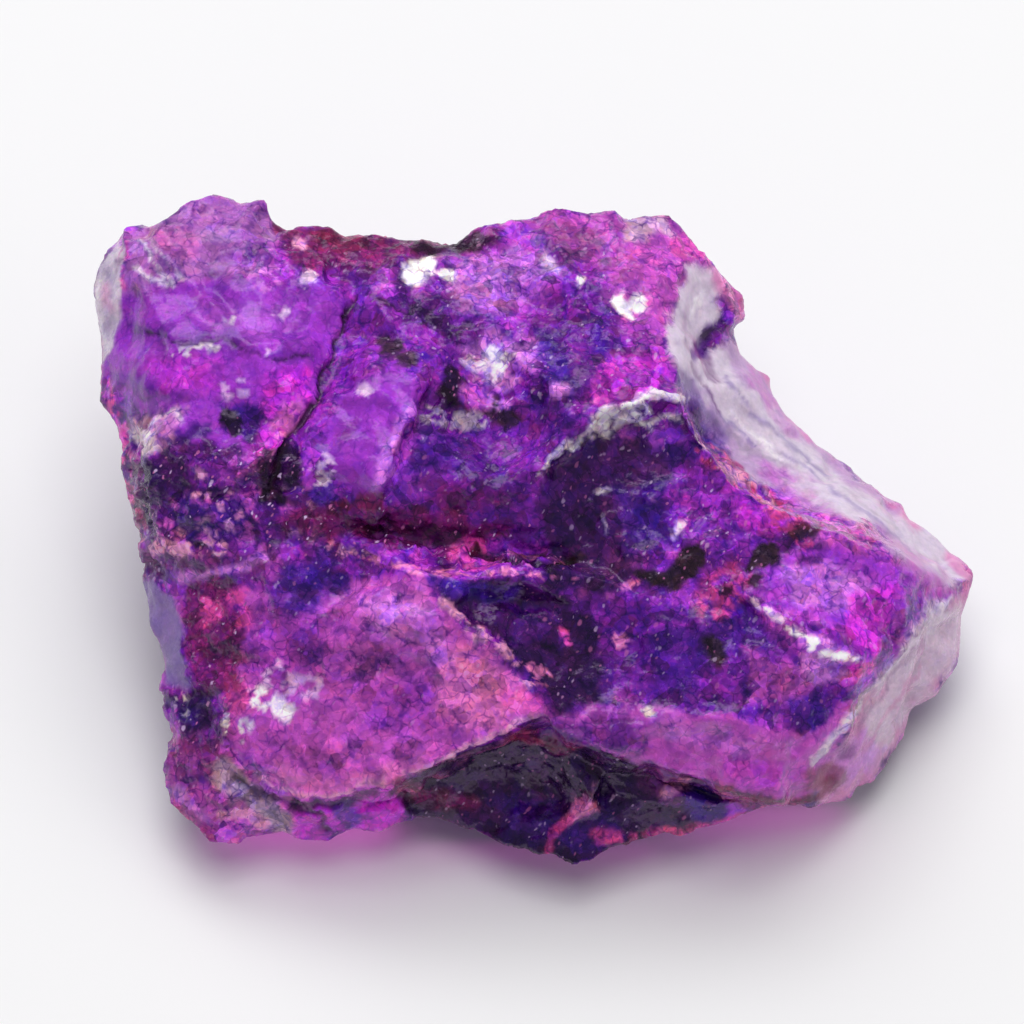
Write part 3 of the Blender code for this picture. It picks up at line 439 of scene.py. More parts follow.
    streak("frost and sheen", ((4.6, 5.8), (5.5, 6.1), (6.5, 6.2), (7.4, 6)), 0.2, height=0.08, share=0.8, gloss=0.3),
    streak("frost and sheen", ((-0.1, 2.4), (0.5, 3), (1.2, 3.3), (1.4, 3.9)), 0.24, height=0.12),
    streak("grey", ((-5.8, 5.3), (-4.5, 5), (-3, 5.1)), 0.7, cover=0.75, share=0.7),
    streak("frost and sheen", ((-19.9, 13.8), (-19.2, 12.6), (-18.4, 11.8)), 0.24, cover=0.8, height=0.06),
    streak("frost and sheen", ((-19.5, 14), (-18.6, 12.8), (-17.9, 12)), 0.14, cover=0.7),
    streak("frost and sheen", ((-20.2, 12.6), (-19.6, 12.1), (-18.7, 11.8)), 0.2, cover=0.8),
    patch("blush", (
        (-20.6, 5), (-19.5, 5.4), (-17.8, 5.7), (-18, 4.5), (-18.8, 3.8), (-19.5, 3.4), (-20.4, 4),
    ), soft=0.25, cover=0.55, gloss=0.12),
    streak("frost and sheen", ((-20.1, 4.2), (-19.4, 3.9)), 0.9, soft=0.3, cover=0.75),
    streak("frost and sheen", ((-19.4, 4.8), (-18.4, 5.4), (-17.9, 4.9)), 0.2, cover=0.8),
    streak("lilac", ((-18, -2.9), (-16, -2.5), (-14.5, -2.1), (-13.8, -1.8)), 0.4, cover=0.75, height=0.08),
    streak("pink", ((-11, -1.4), (-9.5, -1.6), (-8, -2.1), (-6, -2.5)), 0.55, share=0.4, broken=0.35),
    streak("pink", ((-6, -2.5), (-3.5, -2.6), (-1, -2.6), (1.6, -2.7)), 0.3, share=0.5, broken=0.25),
    streak("blush", ((-10.8, -1.6), (-9.8, -1.5), (-8.8, -1.8)), 0.4, share=0.5),
    streak("blush", ((-19.6, -1.4), (-17.6, -1.5), (-15.8, -1.3)), 0.6, share=0.45, height=0.08),
    streak("blush", (
        (-5, -3.9), (-3.8, -5), (-2.5, -6), (-1.3, -7), (-0.5, -8),
    ), 0.42, share=0.7, height=0.12),
    streak("rose", (
        (8.3, 3.3), (9.5, 2.4), (10.5, 1.8), (11.5, 0.8), (12.5, 0), (13.2, -0.8),
    ), 1.1, share=0.6),
    streak("blush", ((9, 2.7), (10.4, 1.9), (11.6, 0.8)), 0.5, share=0.55, height=0.1),
    streak("frost and sheen", ((8.2, 3.6), (7.4, 4.6)), 0.3, cover=0.6, share=0.7),
    # Cracks and fissures.
    streak("black", (
        (-9.4, 11.3), (-9.8, 10), (-10, 8.8), (-10.6, 7.5), (-11, 6.3), (-12, 5), (-12.7, 3.8),
        (-13, 2.5), (-13.8, 1),
    ), 0.3, soft=0.2, broken=0.12, cover=0.9, height=-0.3),
    streak("night", ((-20.5, 9.3), (-19, 9.4), (-18, 8.9), (-16.8, 8.8), (-15.8, 9), (-15, 8.4)), 0.18,
           cover=0.75, height=-0.12),
    streak("night", ((-14.8, 8.3), (-13, 8), (-12, 8.2), (-11, 8.1)), 0.16, cover=0.7, height=-0.12),
    streak("night", ((-20.8, 6.6), (-19.6, 6.1), (-18.8, 6.3)), 0.16, cover=0.5, height=-0.08),
    streak("night", ((-13.8, 6), (-13.2, 5.2), (-13.6, 4.8)), 0.18, cover=0.6, height=-0.1),
    streak("black", ((-3.3, -1.6), (-2, -1.9), (-0.5, -2), (1.5, -2)), 0.34, height=-0.2),
    streak("black", ((-8.6, 11.4), (-7.2, 10.4), (-6.4, 10.2)), 0.24, cover=0.7, height=-0.1),
    streak("deep violet", ((9.1, 9.9), (8.4, 9.1), (7.9, 8.3)), 0.6, soft=0.25, cover=0.95, height=-0.15),
    streak("black", ((8.8, 9.6), (8.2, 8.9)), 0.3, soft=0.2, cover=0.8),
    streak("plum", ((8.3, 8.2), (8.5, 7.4), (8.9, 6.9)), 0.3, soft=0.2, cover=0.7, height=-0.1),
    # Dark inclusions.
    patch("black", (
        (-5, 6.8), (-4.3, 7.9), (-3.2, 6.8), (-2.5, 5.8), (-3.5, 5.3), (-4.9, 5.7),
    ), soft=0.3, cover=0.92),
    streak("olive", ((-2.3, 5.7), (-1.5, 5)), 1.1, soft=0.3, broken=0.4),
    streak("olive", ((-7.8, 8.8), (-7.3, 8.6)), 0.9, soft=0.3, broken=0.4),
    streak("olive", ((-6.9, 8), (-6.5, 8)), 0.6, soft=0.2, broken=0.3),
    patch("olive", (
        (4.8, -2.5), (6.3, -2.4), (7.5, -1.2), (8.3, -0.9), (8, -2.3), (7, -3.4), (5.3, -3.3),
    ), soft=0.3, broken=0.4, cover=0.95),
    patch("olive", ((10.2, -2.3), (10.8, -1.4), (11.8, -1.2), (11.9, -2), (11, -2.5)), soft=0.25, cover=0.95),
    streak("olive", ((12.6, -0.7), (13.6, -0.5)), 0.6, soft=0.3, broken=0.3),
    streak("olive", ((10.8, -3),), 0.8, soft=0.2, broken=0.2),
    streak("olive", ((8.4, -6.2), (8.6, -6.7)), 1.1, soft=0.3, broken=0.3),
    streak("olive", ((0.4, -2.2), (2, -1.9)), 0.5, soft=0.3, broken=0.3, cover=0.7),
    streak("night", ((13, -2), (13.8, -1.9)), 0.4, broken=0.2, cover=0.7),
    streak("night", ((8.9, -3.5), (9.2, -3.4)), 0.6, broken=0.2),
    # Pink along the outline: painted glow of light coming through where the crystal is thin.
    streak("pink", ((9, 12.3), (9.8, 11.3), (10.4, 10)), 1.0, soft=0.4, cover=0.8),
    streak("pink", ((10.3, 8.9), (11.4, 7.4), (12.6, 5.6), (13.6, 4.2)), 0.8, soft=0.4, cover=0.65),
    streak("pink", ((17.3, 1.6), (18.3, 0.9), (18.9, 0)), 1.0, soft=0.4, cover=0.85),
    streak("pink", ((20.8, -1.9), (21.9, -2.7), (21.7, -3.4)), 1.0, soft=0.4, cover=0.7),
    streak("hot pink", (
        (-21.9, 7.4), (-21.5, 6), (-20.9, 4.5), (-20.8, 3.3), (-20.6, 1),
    ), 0.6, soft=0.3, share=0.5),
    streak("rose", ((-20.6, 1), (-20.2, -0.5), (-20, -2), (-19.9, -3)), 0.6, soft=0.4, share=0.6),
    # The pale left cap: partly frosted, partly painted reflection of the bright surroundings; the white line
    # at its edge is a painted highlight.
    patch("frost and sheen", (
        (-22, 12.9), (-21.1, 14.1), (-20.8, 13.6), (-21, 12.5), (-20.7, 11.5), (-20.9, 10.5),
        (-21.3, 9.5), (-21.9, 7.5), (-22.2, 9), (-22.5, 10.5), (-22.6, 11.8), (-22.3, 12.6),
    ), soft=0.2, broken=0.12, cover=0.95, gloss=0.22, calm=0.85),
    streak("slate violet", ((-21.9, 12.6), (-21.5, 11.2), (-21.7, 9.4)), 0.6, soft=0.5, cover=0.3),
    streak("blush", ((-21.9, 11.6), (-21.5, 10.6)), 0.6, soft=0.4, cover=0.55),
    streak("highlight white", ((-22.3, 12), (-22.2, 10.4), (-21.9, 8.6)), 0.2, broken=0.08, cover=0.6),
    streak("plum", ((-21.1, 13), (-21.3, 12.4)), 0.2, broken=0.15, cover=0.6),
    streak("hot pink", ((-20.7, 13.8), (-20.9, 12.6), (-20.6, 11.6)), 0.3, cover=0.6, share=0.8),
    streak("rose", ((-19, 14.2), (-17.8, 13.9)), 1.4, soft=0.6, cover=0.35, broken=0.5),
    # Bright glints: painted highlights where clear little faces catch the light, with lilac halos, and a few
    # pink and magenta spots of the crystal's own colour among them.
    patch("highlight white", (
        (-7, 12.3), (-6.4, 12.8), (-5.4, 13.2), (-5.1, 12.3), (-5.8, 11.8), (-6.8, 12),
    ), soft=0.12, broken=0.12, cover=0.97, calm=0.4, glint_glow=0.35),
    streak("highlight white", ((-4.8, 12.3), (-4.5, 12.2)), 0.5, broken=0.15),
    patch("lilac", (
        (-4, 8), (-2.9, 8.9), (-1.2, 9), (-0.5, 8.2), (-1.3, 7.4), (-3, 7.1),
    ), soft=0.4, broken=0.4, cover=0.8),
    patch("highlight white", (
        (-3.2, 7.8), (-2.6, 8.5), (-1.4, 8.7), (-0.9, 8.2), (-1.5, 7.8), (-2.5, 7.4),
    ), soft=0.2, broken=0.3, cover=0.95, calm=0.3, glint_glow=0.35),
    streak("highlight lilac", ((-3.6, 8.1), (-2.4, 7.4)), 0.8, broken=0.4, share=0.6),
    patch("highlight white", (
        (3.6, 11.1), (4, 11.5), (4.6, 10.6), (4.5, 10), (3.8, 10.2),
    ), soft=0.12, broken=0.12, cover=0.97, calm=0.4, glint_glow=0.3),
    streak("highlight white", ((4.7, 11), (5, 10.8)), 0.6, broken=0.2),
    streak("highlight lilac", ((0.2, 12.8), (0.5, 12.7)), 0.6, broken=0.2),
    streak("highlight white", ((2.1, 11.8),), 0.4, broken=0.1),
    streak("highlight lilac", ((-11.6, 12.1), (-11.3, 12.2)), 0.6, broken=0.15),
    streak("highlight lilac", ((-8.7, 6.6), (-8.4, 6.7)), 0.6, broken=0.2, share=0.8),
    streak("highlight lilac", ((-11, 2.2), (-10.6, 2.6)), 1.0, broken=0.3, share=0.8),
    streak("frost and sheen", ((-18.2, 8.4), (-17.2, 8.4), (-16.2, 8.7)), 0.5, share=0.55),
    streak("frost and sheen", ((-15.4, 10.2), (-15, 9.9)), 0.7, share=0.6),
    streak("highlight lilac", ((-13, 10.2), (-12.7, 10.4)), 0.5, share=0.7),
    streak("highlight lilac", ((-13.9, 8.5), (-13.6, 8.4)), 0.4, share=0.8),
    streak("highlight lilac", ((-15.5, 6.6), (-14.6, 6.6)), 0.9, cover=0.6, share=0.5),
    streak("lilac", ((-14.8, 12.4), (-13.4, 12)), 1.4, cover=0.5, broken=0.5, share=0.5),
    streak("lilac", ((-3.5, 6.3), (-3, 6.1)), 1.1, soft=0.3, broken=0.3),
    streak("magenta", ((-3.3, 6.2),), 1.6, soft=0.6, cover=0.5),
    streak("lilac", ((-1.6, 6.8), (-1.2, 6.9)), 0.9, soft=0.3, broken=0.3),
    streak("lilac", ((-2, 5.8), (-1.6, 5.7)), 0.5, soft=0.2, broken=0.2, share=0.7),
    streak("lilac", ((0.8, 6.3), (1.2, 6.4)), 0.8, soft=0.3, broken=0.2),
    streak("highlight lilac", ((10.8, -4.1), (11.4, -4.5), (12.2, -5.2)), 0.35, broken=0.3, share=0.75),
    patch("lilac", (
        (12.1, -5.3), (13, -5.4), (14.3, -5.9), (15.9, -6.6), (15.8, -7.1), (15, -7.3), (14, -6.8),
        (12.8, -6),
    ), soft=0.3, broken=0.35, cover=0.8, gloss=0.1),
    streak("highlight white", (
        (12.4, -5.5), (13.2, -5.9), (14, -6.3),
    ), 0.34, broken=0.25, share=0.7, calm=0.4, glint_glow=0.3),
    streak("highlight white", (
        (13.6, -6.3), (14.8, -6.6), (15.8, -6.9),
    ), 0.4, broken=0.25, share=0.8, calm=0.4, glint_glow=0.35),
    streak("magenta", ((15.2, -7.4), (16.2, -7.1), (16.8, -6.2)), 0.5, broken=0.3),
    streak("highlight white", ((14.8, -6.5), (15.8, -6.9)), 0.26, broken=0.15, calm=0.6, glint_glow=0.7),
    patch("lilac", ((13, -6.5), (15, -7.3), (15.5, -8), (14, -8), (12.9, -7.2)), cover=0.7),
    streak("hot pink", ((15.2, -8.2), (16.2, -7.4)), 0.7, cover=0.6, broken=0.3),
    patch("highlight white", (
        (-14.5, -8.5), (-13.9, -8.2), (-12.5, -9), (-11.9, -9.3), (-12.5, -10.1), (-13.5, -9.8),
        (-14.3, -9.3),
    ), soft=0.25, broken=0.35, cover=0.85, share=0.75, calm=0.5, glint_glow=0.25),
    streak("highlight lilac", ((-13, -7.9), (-12, -8.3), (-11.4, -8)), 1.1, cover=0.6, broken=0.5, share=0.6),
    streak("frost and sheen", ((-15.6, -9.9), (-15, -10.4)), 0.9, share=0.55, broken=0.4),
    streak("frost and sheen", ((-17.8, -9.2), (-17.3, -9.5)), 0.7, share=0.7, broken=0.3),
    patch("frost and sheen", ((5.1, -9.5), (5.6, -9.2), (5.8, -9.8), (5.3, -9.9)), soft=0.08, broken=0.04, cover=0.9),
    streak("hot pink", ((0.9, -5.8), (1.4, -6.3)), 0.45, share=0.6, broken=0.3),
    streak("pink", ((4, -3.2), (4.6, -3)), 0.35, share=0.7, broken=0.2),
    streak("pink", ((4, -6), (4.2, -5.8)), 0.3, share=0.8, broken=0.2),
    streak("pink", ((-0.7, -7.3), (0.2, -7.7)), 0.9, cover=0.7, share=0.6, broken=0.3),
    streak("hot pink", ((-1.6, -8.7), (-0.6, -9)), 1.3, soft=0.5, cover=0.5, broken=0.3),
    streak("blush", ((-12.3, 13.9), (-11.9, 13.8)), 0.3, share=0.8),
    streak("highlight lilac", ((6.4, -0.8), (6.9, -0.3)), 0.3, share=0.8),
    streak("frost and sheen", ((2.8, 1.2), (3.4, 1.4)), 0.2, share=0.6),
    streak("frost and sheen", ((3, 0.4), (3.2, -0.6)), 0.16, cover=0.5, share=0.6),
)


def linear(colour):
    """A colour's red, green and blue from 0 to 255, as the light they stand for: the screen's own curve."""
    part = np.array(colour, float) / 255.0
    return np.where(part <= 0.04045, part / 12.92, ((part + 0.055) / 1.055) ** 2.4)


def ease(value, low, high):
    """From 0 at low to 1 at high, level at both ends: 3t squared less 2t cubed."""
    t = np.clip((value - low) / (high - low), 0.0, 1.0)
    return t * t * (3.0 - 2.0 * t)


# Large odd numbers and bit turns that mix a whole-numbered place and a seed into a number without a pattern.
PLACE_FACTORS = (73856093, 19349663, 83492791)
SEED_FACTOR = 668265263
MIXING_FACTOR = 2246822519
BIT_TURNS = (15, 13, 16)

# How far apart the seeds of the three clouds lie that shift a place.
SEED_STEP = 11


def chance(cells, seed):
    """A number from 0 to 1 for each whole-numbered place, the same each time: its three coordinates times
    large odd numbers, mixed bit by bit, and the result taken as a fraction."""
    mixed = np.uint32(seed * SEED_FACTOR % 2 ** 32)
    for axis, factor in enumerate(PLACE_FACTORS):
        mixed = mixed ^ (cells[..., axis].astype(np.int64).astype(np.uint32) * np.uint32(factor))
    for turn in BIT_TURNS:
        mixed = (mixed ^ (mixed >> np.uint32(turn))) * np.uint32(MIXING_FACTOR)
    return (mixed ^ (mixed >> np.uint32(BIT_TURNS[0]))) / 2.0 ** 32


def cloud(places, size, seed, octaves=3):
    """Soft noise from 0 to 1: chance at the corners of a grid of that size, blended between them, with
    finer and weaker copies of it added."""
    total = np.zeros(len(places))
    weight = 0.0
    for octave in range(octaves):
        spot = places * (2.0 ** octave / size)
        base = np.floor(spot)
        part = spot - base
        part = part * part * (3.0 - 2.0 * part)
        value = np.zeros(len(places))
        for corner in np.ndindex(2, 2, 2):
            share = np.prod(np.where(np.array(corner), part, 1.0 - part), axis=1)
            value += share * chance(base + np.array(corner), seed + octave)
        total += value / 2.0 ** octave
        weight += 1.0 / 2.0 ** octave
    return total / weight


def wander(places, size, reach, seed):
    """The places, each shifted by up to reach, by three clouds of that size."""
    shifts = [cloud(places, size, seed + SEED_STEP * axis, 2) - 0.5 for axis in range(3)]
    return places + 2.0 * reach * np.stack(shifts, axis=1)


def flakes(places, size, seed):
    """The nearest of a jittered grid of seeds: the offset from it, in sizes, and three chances of its own."""
    spot = places / size
    base = np.floor(spot)
    nearest = np.full(len(places), np.inf)
    offset = np.zeros_like(places)
    own = np.zeros_like(places)
    for step in np.ndindex(3, 3, 3):
        cell = base + np.array(step) - 1.0
        seeds = np.stack([chance(cell, seed + axis) for axis in range(3)], axis=1)
        gap = spot - cell - seeds
        distance = (gap * gap).sum(axis=1)
        closer = distance < nearest
        nearest[closer] = distance[closer]
        offset[closer] = gap[closer]
        own[closer] = seeds[closer]
    return offset, own


def facets(places, size, seed):
    """Height of broken facets, in millimetres: in each flake a plane through its seed, with its own slope."""
    offset, own = flakes(places, size, seed)
    return (offset * (own - 0.5)).sum(axis=1) * 2.0 * size


def merged(data):
    """A CAD mesh's corners in millimetres, each once, and its triangles."""
    points = np.empty(len(data.vertices) * 3, np.float32)
    data.vertices.foreach_get("co", points)
    data.calc_loop_triangles()
    corners = np.empty(len(data.loop_triangles) * 3, np.int32)
    data.loop_triangles.foreach_get("vertices", corners)
    points, place = np.unique(points.reshape(-1, 3), axis=0, return_inverse=True)
    faces = place.reshape(-1)[corners].reshape(-1, 3)
    distinct = (faces != np.roll(faces, 1, axis=1)).all(axis=1)
    return points.astype(float) / MM, faces[distinct]


def edges_of(faces, count):
    """Each edge once, as two corners, and the number of the edge that starts at each corner of each face."""
    ends = np.sort(np.stack([faces, np.roll(faces, -1, axis=1)], axis=2), axis=2).reshape(-1, 2)
    keys, number = np.unique(ends[:, 0].astype(np.int64) * count + ends[:, 1], return_inverse=True)
    return np.stack([keys // count, keys % count], axis=1), number.reshape(-1, 3)


def split(points, faces):
    """Every edge longer than its limit gets a corner in its middle. A face with one, two or three of them
    becomes two, three or four faces, each time starting from the edge that is unlike the others."""
    edges, number = edges_of(faces, len(points))
    middles = points[edges].mean(axis=1)
    length = np.linalg.norm(points[edges[:, 0]] - points[edges[:, 1]], axis=1)
    front = ease((middles - DRAWING_ORIGIN) @ TOWARD, *NEAR_FROM)
    is_long = length > FAR_EDGE + (NEAR_EDGE - FAR_EDGE) * front
    middle_of = np.full(len(edges), -1)
    middle_of[is_long] = len(points) + np.arange(is_long.sum())
    marks = is_long[number]
    made = [faces[~marks.any(axis=1)]]
    patterns = {
        1: (np.argmax, ((0, 3, 2), (3, 1, 2))),
        2: (np.argmin, ((4, 2, 5), (0, 1, 4), (0, 4, 5))),
        3: (np.argmax, ((0, 3, 5), (3, 1, 4), (5, 4, 2), (3, 4, 5))),
    }
    for amount, (pick, pattern) in patterns.items():
        rows = marks.sum(axis=1) == amount
        turn = (pick(marks[rows], axis=1)[:, None] + np.arange(3)) % 3
        corners = np.take_along_axis(faces[rows], turn, axis=1)
        halves = np.take_along_axis(middle_of[number[rows]], turn, axis=1)
        six = np.concatenate([corners, halves], axis=1)
        made += [six[:, list(triple)] for triple in pattern]
    return np.vstack([points, middles[is_long]]), np.concatenate(made), bool(is_long.any())


def refined(points, faces):
    """Corners and faces split again and again, until no edge is longer than its limit."""
    for _ in range(SPLITTING_PASSES):
        points, faces, changed = split(points, faces)
        if not changed:
            break
    return points, faces


def eased(values, edges, passes, pull=0.5):
    """Each corner's value, drawn towards the mean of its neighbours' values, some passes over."""
    count = np.bincount(edges.ravel(), minlength=len(values))[:, None]
    for _ in range(passes):
        total = np.zeros_like(values)
        for axis in range(values.shape[1]):
            total[:, axis] = np.bincount(edges[:, 0], values[edges[:, 1], axis], len(values))
            total[:, axis] += np.bincount(edges[:, 1], values[edges[:, 0], axis], len(values))
        values = values + pull * (total / count - values)
    return values


def normals_of(points, faces):
    """Each corner's outward direction: the sum of the cross products of its faces' sides."""
    a, b, c = (points[faces[:, i]] for i in range(3))
    across = np.cross(b - a, c - a)
    total = np.zeros_like(points)
    for axis in range(3):
        for i in range(3):
            total[:, axis] += np.bincount(faces[:, i], across[:, axis], len(points))
    return total / np.linalg.norm(total, axis=1, keepdims=True)


def distance_to(line, spots):
    """Each spot's distance from a line of straight runs: the nearest point of each run, and the least."""
    line = np.array(line, float)
    if len(line) == 1:
        return np.linalg.norm(spots - line[0], axis=1)
    nearest = np.full(len(spots), np.inf)
    for start, end in zip(line[:-1], line[1:]):
        run = end - start
        along = np.clip((spots - start) @ run / (run @ run), 0.0, 1.0)
        nearest = np.minimum(nearest, np.linalg.norm(spots - start - along[:, None] * run, axis=1))
    return nearest


def inside(outline, spots):
    """Whether each spot lies inside a closed outline: a ray from it crosses an odd number of sides."""
    outline = np.array(outline, float)
    crossings = np.zeros(len(spots), int)
    for start, end in zip(outline, np.roll(outline, -1, axis=0)):
        straddles = (start[1] > spots[:, 1]) != (end[1] > spots[:, 1])
        rise = end[1] - start[1] if end[1] != start[1] else 1.0
        crossing = start[0] + (spots[:, 1] - start[1]) * (end[0] - start[0]) / rise
        crossings += straddles & (spots[:, 0] < crossing)
    return crossings % 2 == 1


def mask_of(mark, spots, roughened, grains):
    """How much of a mark's colour each spot takes: its depth inside the mark, roughened by a cloud, eased
    over the soft width, and left out in the flakes whose chance is above its share."""
    reach = mark["soft"] + mark["broken"] + mark["width"]
    points = np.array(mark["points"], float)
    near = ((spots > points.min(axis=0) - reach) & (spots < points.max(axis=0) + reach)).all(axis=1)
    mask = np.zeros(len(spots))
    here = spots[near]
    if mark["closed"]:
        ring = mark["points"] + mark["points"][:1]
        depth = distance_to(ring, here) * np.where(inside(mark["points"], here), 1.0, -1.0)
    else:
        depth = mark["width"] / 2.0 - distance_to(mark["points"], here)
    depth += mark["broken"] * roughened[near]
    mask[near] = ease(depth, -mark["soft"] / 2.0, mark["soft"] / 2.0) * mark["cover"]
    return mask * (grains < mark["share"])


# How far a mark's edge wanders, in broad bends and in fine ones: the bends' size, reach and seed.
BENDS = ((1.1, 0.35, 501), (0.35, 0.12, 541))

# The cloud that roughens a mark's edge, and the grains that take its colour or leave it: size and seed.
EDGE_CLOUD = (0.7, 601)
GRAIN_BENDS = (0.6, 0.15, 631)
GRAIN_SIZE = 0.42
GRAIN_SEED = 641

# Clouds of the mottling that runs through the whole crystal: size and seed, and the bends of two of them.
BROAD_CLOUD = (3.4, 701)
DARK_CLOUD = (2.2, 731)
MID_BENDS = (1.5, 0.5, 711)
MID_CLOUD = (1.5, 721)
WIDE_BENDS = (6.0, 1.5, 751)
WIDE_CLOUD = (6.0, 761)

# The mottling, in order: colour, how much of it, its cloud, the cloud's values where it starts and is full,
# and whether only the far side has it.
MOTTLING = (
    ("indigo", 0.7, "wide", 0.46, 0.34, True),
    ("mauve", 0.6, "wide", 0.54, 0.66, True),
    ("deep violet", 1.0, "broad", 0.52, 0.3, False),
    ("bright violet", 1.0, "broad", 0.52, 0.7, False),
    ("indigo", 0.8, "mid", 0.42, 0.28, False),
    ("mauve", 0.6, "mid", 0.58, 0.74, False),
    ("night", 0.7, "dark", 0.62, 0.72, False),
)

# Smooth pale faces of the far side: the two clouds' values that bound them, their cover and their calm.
PALE_WIDE = (0.60, 0.63)
PALE_MID = (0.38, 0.46)
PALE_COVER = 0.8
PALE_CALM = 0.85

# The drawing's marks fade out where the surface turns away from it: the facing where they end and are full.
SHOWN_FACING = (-0.45, -0.2)

# Painted light and shade: a pale pink glow on sharp edges and a pink glow along the outline, where light
# comes through the thin crystal, and painted shade in grooves: how far the surface stands out from its own
# mean in millimetres, or how it faces, with the clouds and grains that break them up.
EDGE_GLOW_BULGE = (0.10, 0.32)
EDGE_GLOW_GRAINS = 0.5
EDGE_GLOW_CLOUD = (1.4, 741)
EDGE_GLOW_CLOUD_VALUES = (0.4, 0.6)
EDGE_GLOW_COVER = 0.55
OUTLINE_GLOW_FACING = (0.45, 0.1)
OUTLINE_GLOW_EDGE_VALUES = (-0.4, 0.3)
OUTLINE_GLOW_COVER = 0.35
CREASE_SHADE_BULGE = (-0.10, -0.34)
CREASE_SHADE_COVER = 0.6

# Facets and grains of the fine surface: size, height where the crystal is smooth, where it is rough, seed.
RELIEF = (
    (1.9, 0.08, 0.22, 61),
    (0.9, 0.05, 0.22, 71),
    (0.5, 0.015, 0.13, 81),
)
RELIEF_BENDS = (1.3, 0.3, 801)
CALM_FLATTENING = 0.8

# Easing passes of the surface itself, of its outward directions, of its own mean and of how it faces.
SURFACE_PASSES = 2
OUTWARD_PASSES = 3
MEAN_PASSES = 14
FACING_PASSES = 8

# Ground that broke rough, and ground that broke smooth: outline on the drawing and how rough.
ROUGH_GROUND = (
    (((-20.5, 3.8), (-13.5, 4), (-10, 0.8), (0, 0), (2, -2.6), (-8, -2.2), (-13, -1.4), (-20, -2.8)), 1.0),
    (((-18.2, -2.8), (-14.6, -2.8), (-15, -9), (-16, -11.6), (-18.6, -11.6), (-17.8, -6)), 0.9),
    (((-7.4, 12.8), (8, 14.8), (8, 11), (5.8, 6), (0, 6), (-5.8, 5), (-7, 9)), 0.55),
    (((-7, -13.2), (0, -10.4), (5, -12), (9.6, -13.4), (9.6, -15.6), (1, -17.6), (-6.8, -15.6)), 0.35),
    (((-0.6, -4), (5, -4), (5, -8.6), (1, -9)), 0.4),
    (((7, 3.4), (13.4, -0.2), (13.6, -1.4), (7, -4.6), (4, -3.6), (4.8, -1.4)), 0.6),
)
ROUGH_SOFT = 1.2
ROUGH_BROKEN = 0.8
PLAIN_GROUND = 0.25
FAR_GROUND = 0.8
FAR_GROUND_CLOUD = (0.45, 0.62)
PLAIN_ROUGHNESS = 0.17


def laid(values, colour, amount):
    """Colours with a named one laid over them by amount."""
    return values + amount[:, None] * (linear(COLOURS[colour]) - values)


